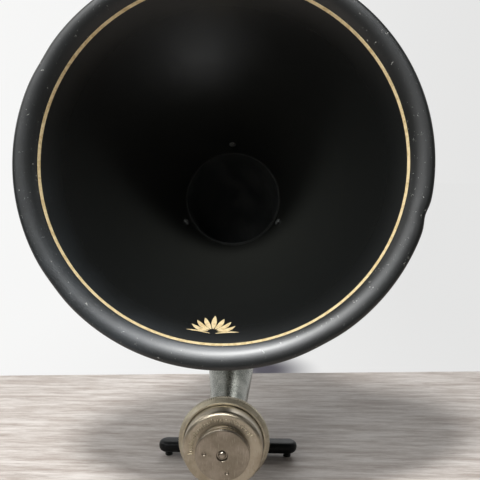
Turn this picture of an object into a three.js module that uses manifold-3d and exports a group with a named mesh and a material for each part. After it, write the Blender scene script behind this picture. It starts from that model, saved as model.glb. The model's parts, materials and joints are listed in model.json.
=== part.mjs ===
// Tabletop horn loudspeaker with an adjustable moving-iron driver.
// Millimetres, +X right, +Y towards the back, +Z up. The mouth faces -Y and leans back a little.
// The parts are laid out from the vertical line under the centre of the mouth. At the end the whole
// group is shifted so that its origin is the bottom centre of its own bounding box.

import * as THREE from 'three';
import { mergeVertices } from 'three/addons/utils/BufferGeometryUtils.js';
import Module from 'manifold-3d';

const wasm = await Module();
wasm.setup();

// ---------------------------------------------------------------- driving dimensions

const GAP = 0.3;                       // clearance between pieces that touch
const TURNED_SIDES = 32;               // sides of a turned piece of the driver
const SMALL_SIDES = 12;                // sides of a pin, screw or bush
const MERGE_DISTANCE = 1e-4;

// Horn
const BELL_SIDES = 40;
const BELL_TILT = THREE.MathUtils.degToRad(12.6);
const BELL_DEPTH = 240;                // throat edge to the middle of the rolled rim
const BELL_SHEET = 1.0;
const THROAT_RADIUS = 58.8;
const WALL_END_RADIUS = 168;           // where the wall turns outwards to the rolled rim
const WALL_END_DEPTH = 6.6;            // how far behind the middle of the rim that is
const WALL_STRAIGHTNESS = 0.612;       // 1 would be a plain cone
const RIM_RADIUS = 190;
const FLARE_RADIUS = 22.1;             // of the wall's last turn, from its end to the rim
const CURL_RADIUS = 3.47;              // of the roll at the sheet's edge
const CURL_LAST_ANGLE = THREE.MathUtils.degToRad(-150);
const BELL_SCREW_DISTANCE = 21;        // along the bell's axis from the throat edge
const BELL_SCREW_COUNT = 3;

// Neck, a curved horn whose centre line is a lead, a wide arc and a tight arc
const CAPSULE_HEIGHT = 48.4;           // driver axis above the table
const NECK_START = 33.3;
const LEAD_LENGTH = 16.7;
const WIDE_ARC_RADIUS = 358;
const WIDE_ARC_TURN = THREE.MathUtils.degToRad(37.3);
const TIGHT_ARC_RADIUS = 85;
const NECK_START_RADIUS = 16.5;
const NECK_END_RADIUS = 64.6;
const BORE_START_RADIUS = 12.5;
const BORE_END_RADIUS = 57.5;
const PLUG_LENGTH = 11;                // straight end that sits in the driver's hub
const THROAT_SEAT = 3;                 // short straight length just before the throat
const COLLAR_LENGTH = 30;
const COLLAR_WALL = 4.5;
const COLLAR_GAP = 0.9;
const NECK_SIDES = 30;
const NECK_FLARE = 1.3;                // 1 would open evenly along the centre line
const COLLAR_LIP = 1.5;                // the rolled lip at the collar's mouth
const COLLAR_LIP_LENGTH = 5;
const GASKET_SEAT_DEPTH = 1.8;
const LUG_HALF_WIDTH = 11;             // the lug under the neck
const LUG_HALF_LENGTH = 20;
const LUG_CORNER = 6;
const LUG_HEIGHT = 20;                 // its upper end is inside the neck's wall

// Bell screws, with heights measured inwards from the bell's wall
const SCREW_HEAD_RADIUS = 4;
const SCREW_HEAD_FRONT = 3;
const SCREW_HEAD_BACK = 0.5;
const SCREW_SLOT_FLOOR = 1.9;
const SCREW_SLOT_HALF_WIDTH = 0.5;
const SCREW_SHANK_RADIUS = 1.9;
const SCREW_SHANK_END = -8.5;
const SCREW_HOLE_RADIUS = 2.4;
const BOSS_RADIUS = 7;                 // screw boss on the outside of the collar
const BOSS_SPAN = [-11, -2];
const BOSS_HOLE_END = -9.2;

// Foot
const BAR_WIDTH = 150.6;
const BAR_CENTRE = 90;                 // distance behind the middle of the mouth
const BAR_HALF_DEPTH = 10;
const LEG_HALF_WIDTH = 12;
const LEG_END = 205;
const FOOT_BOTTOM = 5;
const FOOT_THICKNESS = 12;
const FOOT_EDGE = 3;
const FOOT_FILLET = 18;
const TOE_RADIUS = 3.6;
const TOE_SPACING = 129.5;
const FELT_THICKNESS = 2.2;
const FELT_RADIUS = 4;
const SADDLE_CENTRE = 120;             // the bolt that holds the neck to the foot
const SADDLE_TOP = 26;
const SADDLE_RADIUS = 20;
const SADDLE_EDGE = [[20, -3.5], [18.5, -1], [17.5, 0]];   // [radius, height above the saddle's top]
const BOLT_HEAD_RADIUS = 7.5;
const BOLT_HEAD_BOTTOM = FOOT_BOTTOM + 0.3;
const BOLT_HEAD_TOP = FOOT_BOTTOM + 5.5;
const BOLT_RADIUS = 3.9;
const BOLT_END = SADDLE_TOP + 6.8;
const BOLT_HOLE_RADIUS = 4.4;
const WASHER_BOTTOM = BOLT_HEAD_TOP + GAP;
const WASHER_TOP = WASHER_BOTTOM + 1.4;
const WASHER_RADIUS = 8.6;
const COUNTERBORE_TOP = WASHER_TOP + GAP;
const COUNTERBORE_RADIUS = 9.5;

// Driver capsule, measured along its axis from the middle of the mouth
const CAP_FACE = -6;
const CAP_SHEET = 1.8;
const CAP_RADIUS = 38.6;
const CAP_SHOULDER = 3.2;
const CAP_FLANGE_FRONT = 13.7;
const CAP_FLANGE_RADIUS = 40.6;
const RING_FRONT = 11.2;
const RING_BACK = 20;
const RING_RADIUS = 44.6;
const RING_FACE_RADIUS = 41;           // where the ribbed bevel meets the front edge
const RING_RIBS = 60;
const RING_RIB_DEPTH = 0.8;
const HOUSING_RADIUS = 40.9;
const HOUSING_FRONT = 18.8;
const HUB_RADIUS = 20.5;
const HUB_END = 44;
const SET_SCREW_ALONG = HUB_END - 5;
const SET_SCREW_RADIUS = 2;
const DOME = [[23, 0], [26, -1.4], [28.5, -4.9], [31, -15.9], [33, -19.4]];   // [along, change of radius]
const DOME_BORE = [[9, 25], [11, 22.5]];          // inside of the dome, [radius, along]
const DIAPHRAGM_FRONT = 17.1;
const DIAPHRAGM_SHEET = 0.3;
const DIAPHRAGM_RADIUS = 40.2;
const GASKET_BORE = 34;
const GASKET_SHEET = 0.8;

// Adjusting knob
const KNOB_FACE = -16;
const KNOB_BACK = -6.6;
const KNOB_RADIUS = 25.7;
const KNOB_EDGE = 2;
const KNOB_SHEET = 2;
const KNOB_RECESS_RADIUS = 5.4;
const KNOB_RECESS_DEPTH = 2.2;
const KNOB_GROOVE = [[0, -11], [-0.8, -10.5], [-0.8, -9.7], [0, -9.2]];   // [change of radius, along]
const KNOB_HUB_RADIUS = 9.5;
const KNOB_HUB_BACK = CAP_FACE - 2.2;
const DIMPLE_RADIUS = 1.6;
const DIMPLE_DEPTH = 1.1;
const DIMPLE_CIRCLE = 17;
const DIMPLE_ANGLES = [174, 285].map(THREE.MathUtils.degToRad);
const SPINDLE_RADIUS = 3;
const SPINDLE_SCREW_RADIUS = 1.7;
const KNOB_SCREW_DOME = [[4.2, 0], [4.1, 1], [3.1, 2], [1.6, 2.6], [0, 2.8]];   // [radius, height]
const BUSH_FLANGE_RADIUS = 8;
const BUSH_FLANGE_FRONT = CAP_FACE - 1.6;
const BUSH_RADIUS = 5.7;
const BUSH_BACK = CAP_FACE + 2.4;
const CAP_HOLE_RADIUS = 6;
const CLIP_RADIUS = 5;
const CLIP_SHEET = 0.8;

// Magnet system
const CARRIER_RADIUS = 27;
const CARRIER_HUB_FRONT = -1.8;
const CARRIER_FRONT = 4;
const CARRIER_SHEET = 1.2;
const CARRIER_HUB_RADIUS = 6;
const MAGNET_INNER = 17;
const MAGNET_OUTER = 26;
const MAGNET_THICKNESS = 5;
const POLE_INNER = 5;
const POLE_CORE = 3;
const POLE_HALF_HEIGHT = 6;
const POLE_FOOT = 2;
const POLE_TIP = 16.3;
const COIL_DEPTH = 3.2;
const GUIDE_PIN_OFFSET = 13.5;
const GUIDE_PIN_RADIUS = 1.2;
const POLE_SCREW_X = 14.3;
const POLE_SCREW_RADIUS = 1.1;
const POLE_SCREW_HEAD_RADIUS = 2;
const POLE_SCREW_HEAD = 1.3;
const POLE_SCREW_HOLE_RADIUS = 1.4;
const MAGNET_MOUTH = THREE.MathUtils.degToRad(28);   // half of the gap at the bottom of the ring
const SPRING_RADIUS = 8.2;
const SPRING_WIRE_RADIUS = 0.4;
const SPRING_TURNS = 3;

// Cord inlet and terminals, in the front cap
const INLET_ANGLE = THREE.MathUtils.degToRad(30);    // from straight down towards the left
const INLET_DEPTH = 4.5;               // place of the cord inlet along the axis
const INLET_HOLE_RADIUS = 3.5;
const INLET_BORE = 2.3;
const INLET_RADIUS = 3.2;
const INLET_INNER_END = 33.5;
const INLET_COLLAR_RADIUS = 4.4;
const TERMINAL_TOP = -28.6;
const TERMINAL_BOTTOM = -34.2;
const TERMINAL_HALF_WIDTH = 8;
const TERMINAL_SPAN = [-3, 9];
const TERMINAL_X = 4;
const TERMINAL_ALONG = 3;
const TERMINAL_SCREW_RADIUS = 0.9;
const TERMINAL_HEAD_RADIUS = 1.9;
const TERMINAL_HOLE_RADIUS = 1.2;

// ---------------------------------------------------------------- materials

const metal = (color, roughness) => new THREE.MeshStandardMaterial({ color, roughness, metalness: 1 });
const coat = (color, roughness) => new THREE.MeshStandardMaterial({ color, roughness, metalness: 0 });

const blackEnamel = coat(0x0c0e0e, 0.18);
const blackCasting = coat(0x0b0d0d, 0.35);
const castAluminium = metal(0x8e9083, 0.5);
const nickelPlate = metal(0xa89f88, 0.28);
const brass = metal(0xb08d4f, 0.35);
const steel = metal(0x9a9b98, 0.35);
const magnetSteel = metal(0x4b4d50, 0.45);
const ebonite = coat(0x141210, 0.4);
const felt = coat(0x2e332b, 0.95);
const paper = coat(0xb9ab88, 0.9);
const copper = metal(0xa9622f, 0.45);

// ---------------------------------------------------------------- geometry helpers

/** Reverses the triangles of a closed geometry whose faces point inwards. */
function facingOut(geometry) {
  const position = geometry.attributes.position;
  const index = geometry.index.array;
  const [a, b, c] = [new THREE.Vector3(), new THREE.Vector3(), new THREE.Vector3()];
  let volume = 0;
  for (let i = 0; i < index.length; i += 3) {
    a.fromBufferAttribute(position, index[i]);
    b.fromBufferAttribute(position, index[i + 1]);
    c.fromBufferAttribute(position, index[i + 2]);
    volume += a.dot(b.cross(c));
  }
  if (volume < 0) index.reverse();
  return geometry;
}

/** A geometry with shared vertices merged and triangles of no area left out. */
function welded(geometry) {
  const bare = geometry.clone();
  bare.deleteAttribute('normal');
  bare.deleteAttribute('uv');
  const merged = mergeVertices(bare, MERGE_DISTANCE);
  const index = merged.index.array;
  const kept = [];
  for (let i = 0; i < index.length; i += 3) {
    const [a, b, c] = [index[i], index[i + 1], index[i + 2]];
    if (a !== b && b !== c && c !== a) kept.push(a, b, c);
  }
  merged.setIndex(kept);
  return facingOut(merged);
}

function toManifold(geometry) {
  const closed = welded(geometry);
  return new wasm.Manifold(new wasm.Mesh({
    numProp: 3,
    vertProperties: new Float32Array(closed.attributes.position.array),
    triVerts: new Uint32Array(closed.index.array),
  }));
}

function toGeometry(manifold) {
  const { vertProperties, triVerts } = manifold.getMesh();
  const geometry = new THREE.BufferGeometry();
  geometry.setAttribute('position', new THREE.BufferAttribute(new Float32Array(vertProperties), 3));
  geometry.setIndex(new THREE.BufferAttribute(new Uint32Array(triVerts), 1));
  geometry.computeVertexNormals();
  return geometry;
}

/** The first geometry with all the others cut out of it. */
function cut(geometry, ...tools) {
  return toGeometry(tools.reduce((solid, tool) => solid.subtract(toManifold(tool)), toManifold(geometry)));
}

/** All the geometries joined into one solid. */
function join(geometry, ...others) {
  return toGeometry(others.reduce((solid, other) => solid.add(toManifold(other)), toManifold(geometry)));
}

/** Turns an outline of [radius, distance along Y] about the Y axis. */
function turned(outline, sides = TURNED_SIDES) {
  const points = outline.map(([radius, along]) => new THREE.Vector2(radius, along));
  const onAxis = points[0].x === 0 && points.at(-1).x === 0;
  if (!onAxis) points.push(points[0].clone());
  return facingOut(new THREE.LatheGeometry(points, sides));
}

/** A flat ring, or a disc when its bore is 0, between two distances along Y. */
function ringBetween(front, back, bore, radius, sides = TURNED_SIDES) {
  return turned([[bore, front], [radius, front], [radius, back], [bore, back]], sides);
}

function rodAlongY(front, back, radius, sides = SMALL_SIDES) {
  return ringBetween(front, back, 0, radius, sides);
}

function rodAlongZ(low, high, radius, sides = SMALL_SIDES) {
  return rodAlongY(low, high, radius, sides).rotateX(Math.PI / 2);
}

function boxBetween(low, high) {
  const size = high.map((value, axis) => value - low[axis]);
  const middle = high.map((value, axis) => (value + low[axis]) / 2);
  return new THREE.BoxGeometry(...size).translate(...middle);
}

/** Evenly spaced values from one end to the other, both included. */
function steps(from, to, count) {
  return Array.from({ length: count + 1 }, (_, i) => from + (to - from) * i / count);
}

/** Points on an arc of [radius, along] pairs, both ends included. */
function arc(centreRadius, centreAlong, arcRadius, from, to, count) {
  return steps(from, to, count).map((angle) => {
    return [centreRadius + arcRadius * Math.cos(angle), centreAlong + arcRadius * Math.sin(angle)];
  });
}

/** Extrudes a shape drawn in X and Z towards the front, from a plane at the given Y. */
function plateAt(shape, back, thickness) {
  const options = { depth: thickness, bevelEnabled: false, curveSegments: 16 };
  const geometry = new THREE.ExtrudeGeometry(shape, options);
  return geometry.rotateX(Math.PI / 2).translate(0, back, 0);
}

function node(name, geometry, material) {
  const mesh = new THREE.Mesh(geometry, material);
  mesh.name = name;
  return mesh;
}

// ---------------------------------------------------------------- neck centre line

const TIGHT_ARC_TURN = Math.PI - BELL_TILT - WIDE_ARC_TURN;
const NECK_BENDS = [
  { length: LEAD_LENGTH, turn: 0 },
  { length: WIDE_ARC_RADIUS * WIDE_ARC_TURN, turn: WIDE_ARC_TURN },
  { length: TIGHT_ARC_RADIUS * TIGHT_ARC_TURN, turn: TIGHT_ARC_TURN },
  { length: THROAT_SEAT, turn: 0 },
];
const NECK_LENGTH = NECK_BENDS.reduce((sum, bend) => sum + bend.length, 0);

/** Position and heading (from +Y towards +Z) at a distance along the neck; straight beyond both ends. */
function neckRoute(distance) {
  let [y, z, heading] = [NECK_START, CAPSULE_HEIGHT, 0];
  let left = distance;
  for (const { length, turn } of [...NECK_BENDS, { length: Infinity, turn: 0 }]) {
    const used = Math.min(left, length);
    if (turn === 0) {
      y += used * Math.cos(heading);
      z += used * Math.sin(heading);
    } else {
      const radius = length / turn;
      const next = heading + used / radius;
      y += radius * (Math.sin(next) - Math.sin(heading));
      z += radius * (Math.cos(heading) - Math.cos(next));
      heading = next;
    }
    left -= used;
    if (left <= 0) break;
  }
  return { y, z, heading };
}

/** A turned outline of [radius, distance], bent along the neck's centre line. */
function bentAlongNeck(outline) {
  const positions = [];
  for (const [radius, distance] of outline) {
    const { y, z, heading } = neckRoute(distance);
    for (let side = 0; side < NECK_SIDES; side++) {
      const angle = 2 * Math.PI * side / NECK_SIDES;
      const rise = radius * Math.cos(angle);
      positions.push(radius * Math.sin(angle), y - rise * Math.sin(heading), z + rise * Math.cos(heading));
    }
  }
  const index = [];
  for (let ring = 0; ring < outline.length - 1; ring++) {
    for (let side = 0; side < NECK_SIDES; side++) {
      const a = ring * NECK_SIDES + side;
      const b = ring * NECK_SIDES + (side + 1) % NECK_SIDES;
      index.push(a, b, a + NECK_SIDES, b, b + NECK_SIDES, a + NECK_SIDES);
    }
  }
  const geometry = new THREE.BufferGeometry();
  geometry.setAttribute('position', new THREE.Float32BufferAttribute(positions, 3));
  geometry.setIndex(index);
  return geometry;
}

/** How far the neck has opened, from 0 at the driver's plug to 1 at the throat. */
function neckOpening(distance) {
  return Math.max(0, (distance - PLUG_LENGTH) / (NECK_LENGTH - PLUG_LENGTH)) ** NECK_FLARE;
}

/** Distances of the rings along the curved part: wide steps at first, closer in the tight bend. */
function neckStations() {
  const [lead, wideArc, tightArc] = NECK_BENDS.map((bend) => bend.length);
  const tightStart = lead + wideArc;
  const wide = steps(PLUG_LENGTH, tightStart, 6);
  const tight = steps(tightStart, tightStart + tightArc, 10);
  return [...wide, ...tight.slice(1), NECK_LENGTH];
}

// ---------------------------------------------------------------- bell

/** Inner radius of the bell's wall at a distance forward of the throat edge. */
function bellWallRadius(along) {
  const part = along / (BELL_DEPTH - WALL_END_DEPTH);
  const opened = WALL_STRAIGHTNESS * part + (1 - WALL_STRAIGHTNESS) * part ** 2;
  return THROAT_RADIUS + (WALL_END_RADIUS - THROAT_RADIUS) * opened;
}

/** Angle between the bell's wall and its axis. */
function bellWallSlope(along) {
  return Math.atan(bellWallRadius(along + 0.5) - bellWallRadius(along - 0.5));
}

/** Places a piece of the horn: its own +Y is the bell's axis, from the throat to the mouth. */
function bellPlace() {
  const throat = neckRoute(NECK_LENGTH);
  const place = new THREE.Matrix4().makeRotationX(Math.PI - BELL_TILT);
  return place.setPosition(0, throat.y, throat.z);
}

/** Frame of one bell screw in the bell's own axes: +Y points inwards, square to the wall. */
function bellScrewFrame(number) {
  const around = Math.PI + 2 * Math.PI * number / BELL_SCREW_COUNT;
  const slope = bellWallSlope(BELL_SCREW_DISTANCE);
  const radius = bellWallRadius(BELL_SCREW_DISTANCE);
  const radial = new THREE.Vector3(Math.sin(around), 0, Math.cos(around));
  const inward = radial.clone().multiplyScalar(-Math.cos(slope)).setY(Math.sin(slope));
  const position = radial.multiplyScalar(radius).setY(BELL_SCREW_DISTANCE);
  const turn = new THREE.Quaternion().setFromUnitVectors(new THREE.Vector3(0, 1, 0), inward);
  return new THREE.Matrix4().compose(position, turn, new THREE.Vector3(1, 1, 1));
}

function atBellScrews(geometry, place = new THREE.Matrix4()) {
  return Array.from({ length: BELL_SCREW_COUNT }, (_, number) => {
    return geometry.clone().applyMatrix4(bellScrewFrame(number)).applyMatrix4(place);
  });
}

/** Offsets an open outline to its right by the sheet's thickness and closes it with the offset. */
function sheetOutline(front, thickness) {
  const back = front.map(([radius, along], i) => {
    const before = front[Math.max(i - 1, 0)];
    const after = front[Math.min(i + 1, front.length - 1)];
    const [dr, da] = [after[0] - before[0], after[1] - before[1]];
    const length = Math.hypot(dr, da);
    return [radius + thickness * da / length, along - thickness * dr / length];
  });
  return [...front, ...back.reverse()];
}

/** Outline of the wall's last turn outwards and of the roll at the sheet's edge. */
function bellRimOutline() {
  const middle = RIM_RADIUS - CURL_RADIUS;
  const start = Math.PI - bellWallSlope(BELL_DEPTH - WALL_END_DEPTH);
  const flareCentre = BELL_DEPTH + CURL_RADIUS - FLARE_RADIUS;
  const flare = arc(middle, flareCentre, FLARE_RADIUS, start, Math.PI / 2, 5);
  const curl = arc(middle, BELL_DEPTH, CURL_RADIUS, Math.PI / 2, CURL_LAST_ANGLE, 7);
  return [...flare.slice(1), ...curl.slice(1)];
}

function makeBell() {
  const wall = steps(0, BELL_DEPTH - WALL_END_DEPTH, 6).map((along) => [bellWallRadius(along), along]);
  const shell = turned(sheetOutline([...wall, ...bellRimOutline()], BELL_SHEET), BELL_SIDES);
  const bell = cut(shell, ...atBellScrews(rodAlongY(-6, 6, SCREW_HOLE_RADIUS)));
  return node('bell', bell.applyMatrix4(bellPlace()), blackEnamel);
}

function makeBellScrew(name, number) {
  const rise = SCREW_HEAD_FRONT - SCREW_HEAD_BACK;
  const dome = [[1, 0], [0.95, 0.35], [0.65, 0.8], [0, 1]].map(([wide, high]) => {
    return [SCREW_HEAD_RADIUS * wide, SCREW_HEAD_BACK + rise * high];
  });
  const head = turned([[0, SCREW_HEAD_BACK], ...dome], SMALL_SIDES);
  const shank = rodAlongY(SCREW_SHANK_END, SCREW_SLOT_FLOOR - 1, SCREW_SHANK_RADIUS);
  const slot = boxBetween(
    [-SCREW_SLOT_HALF_WIDTH, SCREW_SLOT_FLOOR, -SCREW_HEAD_RADIUS - 1],
    [SCREW_SLOT_HALF_WIDTH, SCREW_HEAD_FRONT + 1, SCREW_HEAD_RADIUS + 1],
  );
  const screw = cut(join(head, shank), slot);
  return node(name, screw.applyMatrix4(bellScrewFrame(number)).applyMatrix4(bellPlace()), blackEnamel);
}

function makeThroatGasket() {
  const gasket = ringBetween(-1.5, -GAP, BORE_END_RADIUS + 0.3, THROAT_RADIUS + 0.6, NECK_SIDES);
  return node('throat_gasket', gasket.applyMatrix4(bellPlace()), felt);
}

// ---------------------------------------------------------------- neck

/** Radius of the collar's seat for the bell, at a distance past the throat edge. */
function collarSeatRadius(along) {
  return bellWallRadius(along) + BELL_SHEET / Math.cos(bellWallSlope(along)) + COLLAR_GAP;
}

function neckOuter() {
  const outline = [[0, 0], [NECK_START_RADIUS, 0]];
  for (const distance of neckStations()) {
    const radius = NECK_START_RADIUS + (NECK_END_RADIUS - NECK_START_RADIUS) * neckOpening(distance);
    outline.push([radius, distance]);
  }
  const mouth = collarSeatRadius(COLLAR_LENGTH) + COLLAR_WALL;
  const end = NECK_LENGTH + COLLAR_LENGTH;
  outline.push([mouth - COLLAR_LIP, end - COLLAR_LIP_LENGTH - 1]);
  outline.push([mouth + COLLAR_LIP, end - COLLAR_LIP_LENGTH]);
  outline.push([mouth + COLLAR_LIP, end]);
  outline.push([0, end]);
  return bentAlongNeck(outline);
}

function neckBore() {
  const outline = [[0, -1], [BORE_START_RADIUS, -1]];
  for (const distance of neckStations().slice(0, -1)) {
    const radius = BORE_START_RADIUS + (BORE_END_RADIUS - BORE_START_RADIUS) * neckOpening(distance);
    outline.push([radius, distance]);
  }
  outline.push([BORE_END_RADIUS, NECK_LENGTH - GASKET_SEAT_DEPTH]);
  outline.push([collarSeatRadius(0), NECK_LENGTH - GASKET_SEAT_DEPTH]);
  for (const along of [0, COLLAR_LENGTH / 2, COLLAR_LENGTH + 1]) {
    outline.push([collarSeatRadius(along), NECK_LENGTH + along]);
  }
  outline.push([0, NECK_LENGTH + COLLAR_LENGTH + 1]);
  return bentAlongNeck(outline);
}

/** The lug under the neck that stands on the foot's boss. */
function neckLug() {
  const [x, y] = [LUG_HALF_WIDTH - LUG_CORNER, LUG_HALF_LENGTH - LUG_CORNER];
  const quarter = Math.PI / 2;
  const shape = new THREE.Shape();
  shape.moveTo(-x, -LUG_HALF_LENGTH);
  shape.absarc(x, -y, LUG_CORNER, -quarter, 0);
  shape.absarc(x, y, LUG_CORNER, 0, quarter);
  shape.absarc(-x, y, LUG_CORNER, quarter, 2 * quarter);
  shape.absarc(-x, -y, LUG_CORNER, 2 * quarter, 3 * quarter);
  const lug = new THREE.ExtrudeGeometry(shape, { depth: LUG_HEIGHT, bevelEnabled: false, curveSegments: 4 });
  return lug.translate(0, SADDLE_CENTRE, SADDLE_TOP + GAP);
}

function makeNeck() {
  const boss = rodAlongY(...BOSS_SPAN, BOSS_RADIUS);
  const outer = join(neckOuter(), neckLug(), ...atBellScrews(boss, bellPlace()));
  const screwHole = rodAlongY(BOSS_HOLE_END, SCREW_HEAD_FRONT, SCREW_HOLE_RADIUS);
  const boltHole = rodAlongZ(SADDLE_TOP - 1, BOLT_END + 2 * GAP, BOLT_HOLE_RADIUS);
  boltHole.translate(0, SADDLE_CENTRE, 0);
  const neck = cut(outer, neckBore(), ...atBellScrews(screwHole, bellPlace()), boltHole);
  return node('neck_casting', neck, castAluminium);
}

// ---------------------------------------------------------------- foot

/** Plan of the foot: a round-ended cross bar in front and one leg to the back. */
function footPlan() {
  const barEnd = BAR_WIDTH / 2 - BAR_HALF_DEPTH;
  const barBack = BAR_CENTRE + BAR_HALF_DEPTH;
  const filletCentre = LEG_HALF_WIDTH + FOOT_FILLET;
  const quarter = Math.PI / 2;
  const plan = new THREE.Shape();
  plan.moveTo(-barEnd, BAR_CENTRE - BAR_HALF_DEPTH);
  plan.absarc(barEnd, BAR_CENTRE, BAR_HALF_DEPTH, -quarter, quarter);
  plan.absarc(filletCentre, barBack + FOOT_FILLET, FOOT_FILLET, -quarter, -2 * quarter, true);
  plan.absarc(0, LEG_END, LEG_HALF_WIDTH, 0, 2 * quarter);
  plan.absarc(-filletCentre, barBack + FOOT_FILLET, FOOT_FILLET, 0, -quarter, true);
  plan.absarc(-barEnd, BAR_CENTRE, BAR_HALF_DEPTH, quarter, 3 * quarter);
  return plan;
}

const TOES = {
  left: [-TOE_SPACING / 2, BAR_CENTRE],
  right: [TOE_SPACING / 2, BAR_CENTRE],
  rear: [0, LEG_END],
};

function makeFoot() {
  const slab = new THREE.ExtrudeGeometry(footPlan(), {
    depth: FOOT_THICKNESS - 2 * FOOT_EDGE,
    bevelThickness: FOOT_EDGE,
    bevelSize: FOOT_EDGE,
    bevelOffset: -FOOT_EDGE,
    bevelSegments: 2,
    curveSegments: 7,
  }).translate(0, 0, FOOT_BOTTOM + FOOT_EDGE);
  const toes = Object.values(TOES).map(([x, y]) => {
    return rodAlongZ(FELT_THICKNESS + GAP, FOOT_BOTTOM + FOOT_EDGE, TOE_RADIUS).translate(x, y, 0);
  });
  const saddle = turned([
    [0, FOOT_BOTTOM + 1],
    [SADDLE_RADIUS, FOOT_BOTTOM + 1],
    ...SADDLE_EDGE.map(([radius, rise]) => [radius, SADDLE_TOP + rise]),
    [0, SADDLE_TOP],
  ], 24).rotateX(Math.PI / 2);
  const counterbore = rodAlongZ(0, COUNTERBORE_TOP, COUNTERBORE_RADIUS, 20);
  const boltHole = rodAlongZ(0, SADDLE_TOP + 1, BOLT_HOLE_RADIUS);
  for (const piece of [saddle, counterbore, boltHole]) piece.translate(0, SADDLE_CENTRE, 0);
  return node('foot_casting', cut(join(slab, saddle, ...toes), counterbore, boltHole), blackCasting);
}

function makeFeltPads() {
  return Object.entries(TOES).map(([side, [x, y]]) => {
    return node(`felt_pad_${side}`, rodAlongZ(0, FELT_THICKNESS, FELT_RADIUS).translate(x, y, 0), felt);
  });
}

function makeNeckBolt() {
  const head = rodAlongZ(BOLT_HEAD_BOTTOM, BOLT_HEAD_TOP, BOLT_HEAD_RADIUS, 6);
  const shank = rodAlongZ(BOLT_HEAD_TOP - 1, BOLT_END, BOLT_RADIUS);
  return node('neck_bolt', join(head, shank).translate(0, SADDLE_CENTRE, 0), steel);
}

function makeNeckWasher() {
  const washer = ringBetween(WASHER_BOTTOM, WASHER_TOP, BOLT_HOLE_RADIUS, WASHER_RADIUS, 24);
  return node('neck_bolt_washer', washer.rotateX(Math.PI / 2).translate(0, SADDLE_CENTRE, 0), steel);
}

// ---------------------------------------------------------------- driver capsule, axis along Y

/** Turns a piece made along Y so that it lies on the cord inlet's axis, measured from the driver's axis. */
function onInletAxis(geometry) {
  return geometry.rotateX(-Math.PI / 2).rotateY(INLET_ANGLE).translate(0, INLET_DEPTH, 0);
}

function makeFrontCap() {
  const shoulder = CAP_RADIUS - CAP_SHOULDER;
  const shoulderAlong = CAP_FACE + CAP_SHOULDER;
  const innerShoulder = CAP_SHOULDER - CAP_SHEET;
  const cap = turned([
    [CAP_HOLE_RADIUS, CAP_FACE],
    ...arc(shoulder, shoulderAlong, CAP_SHOULDER, -Math.PI / 2, 0, 3),
    [CAP_RADIUS, CAP_FLANGE_FRONT],
    [CAP_FLANGE_RADIUS, CAP_FLANGE_FRONT],
    [CAP_FLANGE_RADIUS, CAP_FLANGE_FRONT + 2],
    [CAP_RADIUS - CAP_SHEET, CAP_FLANGE_FRONT + 2],
    ...arc(shoulder, shoulderAlong, innerShoulder, 0, -Math.PI / 2, 2),
    [CAP_HOLE_RADIUS, CAP_FACE + CAP_SHEET],
  ]);
  const inlet = onInletAxis(rodAlongY(CAP_RADIUS - 8, CAP_RADIUS + 6, INLET_HOLE_RADIUS));
  const pinHoles = [-1, 1].map((side) => {
    const hole = rodAlongY(CAP_FACE - 1, CAP_FACE + CAP_SHEET + 1, GUIDE_PIN_RADIUS + GAP);
    return hole.translate(0, 0, side * GUIDE_PIN_OFFSET);
  });
  return node('front_cap', cut(cap, inlet, ...pinHoles), nickelPlate);
}

function makeClampRing() {
  const outline = new THREE.Shape(Array.from({ length: 2 * RING_RIBS }, (_, i) => {
    const radius = i % 2 ? RING_RADIUS : RING_RADIUS - RING_RIB_DEPTH;
    const angle = Math.PI * i / RING_RIBS;
    return new THREE.Vector2(radius * Math.cos(angle), radius * Math.sin(angle));
  }));
  const blank = plateAt(outline, RING_BACK, RING_BACK - RING_FRONT);
  const bevelCutter = turned([
    [RING_FACE_RADIUS - 1, RING_FRONT - 1], [RING_RADIUS + 1, RING_FRONT - 1],
    [RING_RADIUS + 1, RING_FRONT + RING_RADIUS + 1 - RING_FACE_RADIUS],
  ]);
  const lipBore = rodAlongY(RING_FRONT - 1, RING_BACK + 1, CAP_RADIUS + 0.5, TURNED_SIDES);
  const threadBore = rodAlongY(CAP_FLANGE_FRONT - GAP, RING_BACK + 1, HOUSING_RADIUS + 0.5, TURNED_SIDES);
  return node('clamp_ring', cut(blank, bevelCutter, lipBore, threadBore), nickelPlate);
}

function makeRearHousing() {
  const seat = NECK_START_RADIUS + GAP;
  const chamber = GASKET_BORE + 0.5;
  const housing = turned([
    [chamber, HOUSING_FRONT],
    [HOUSING_RADIUS, HOUSING_FRONT],
    ...DOME.map(([along, change]) => [HOUSING_RADIUS + change, along]),
    [HUB_RADIUS, HUB_END - 8.5],
    [HUB_RADIUS, HUB_END],
    [seat, HUB_END],
    [seat, NECK_START - GAP],
    [BORE_START_RADIUS, NECK_START - GAP],
    ...DOME_BORE,
    [chamber, HOUSING_FRONT + 2],
  ]);
  const screwHole = rodAlongZ(BORE_START_RADIUS, HUB_RADIUS + 10, SET_SCREW_RADIUS + GAP);
  screwHole.translate(0, SET_SCREW_ALONG, 0);
  return node('rear_housing', cut(housing, screwHole), nickelPlate);
}

function makeSetScrew() {
  const screw = rodAlongZ(NECK_START_RADIUS + GAP, HUB_RADIUS + 1.2, SET_SCREW_RADIUS);
  const slot = boxBetween([-0.4, -3, HUB_RADIUS + 0.4], [0.4, 3, HUB_RADIUS + 3]);
  return node('neck_set_screw', cut(screw, slot).translate(0, SET_SCREW_ALONG, 0), steel);
}

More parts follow.
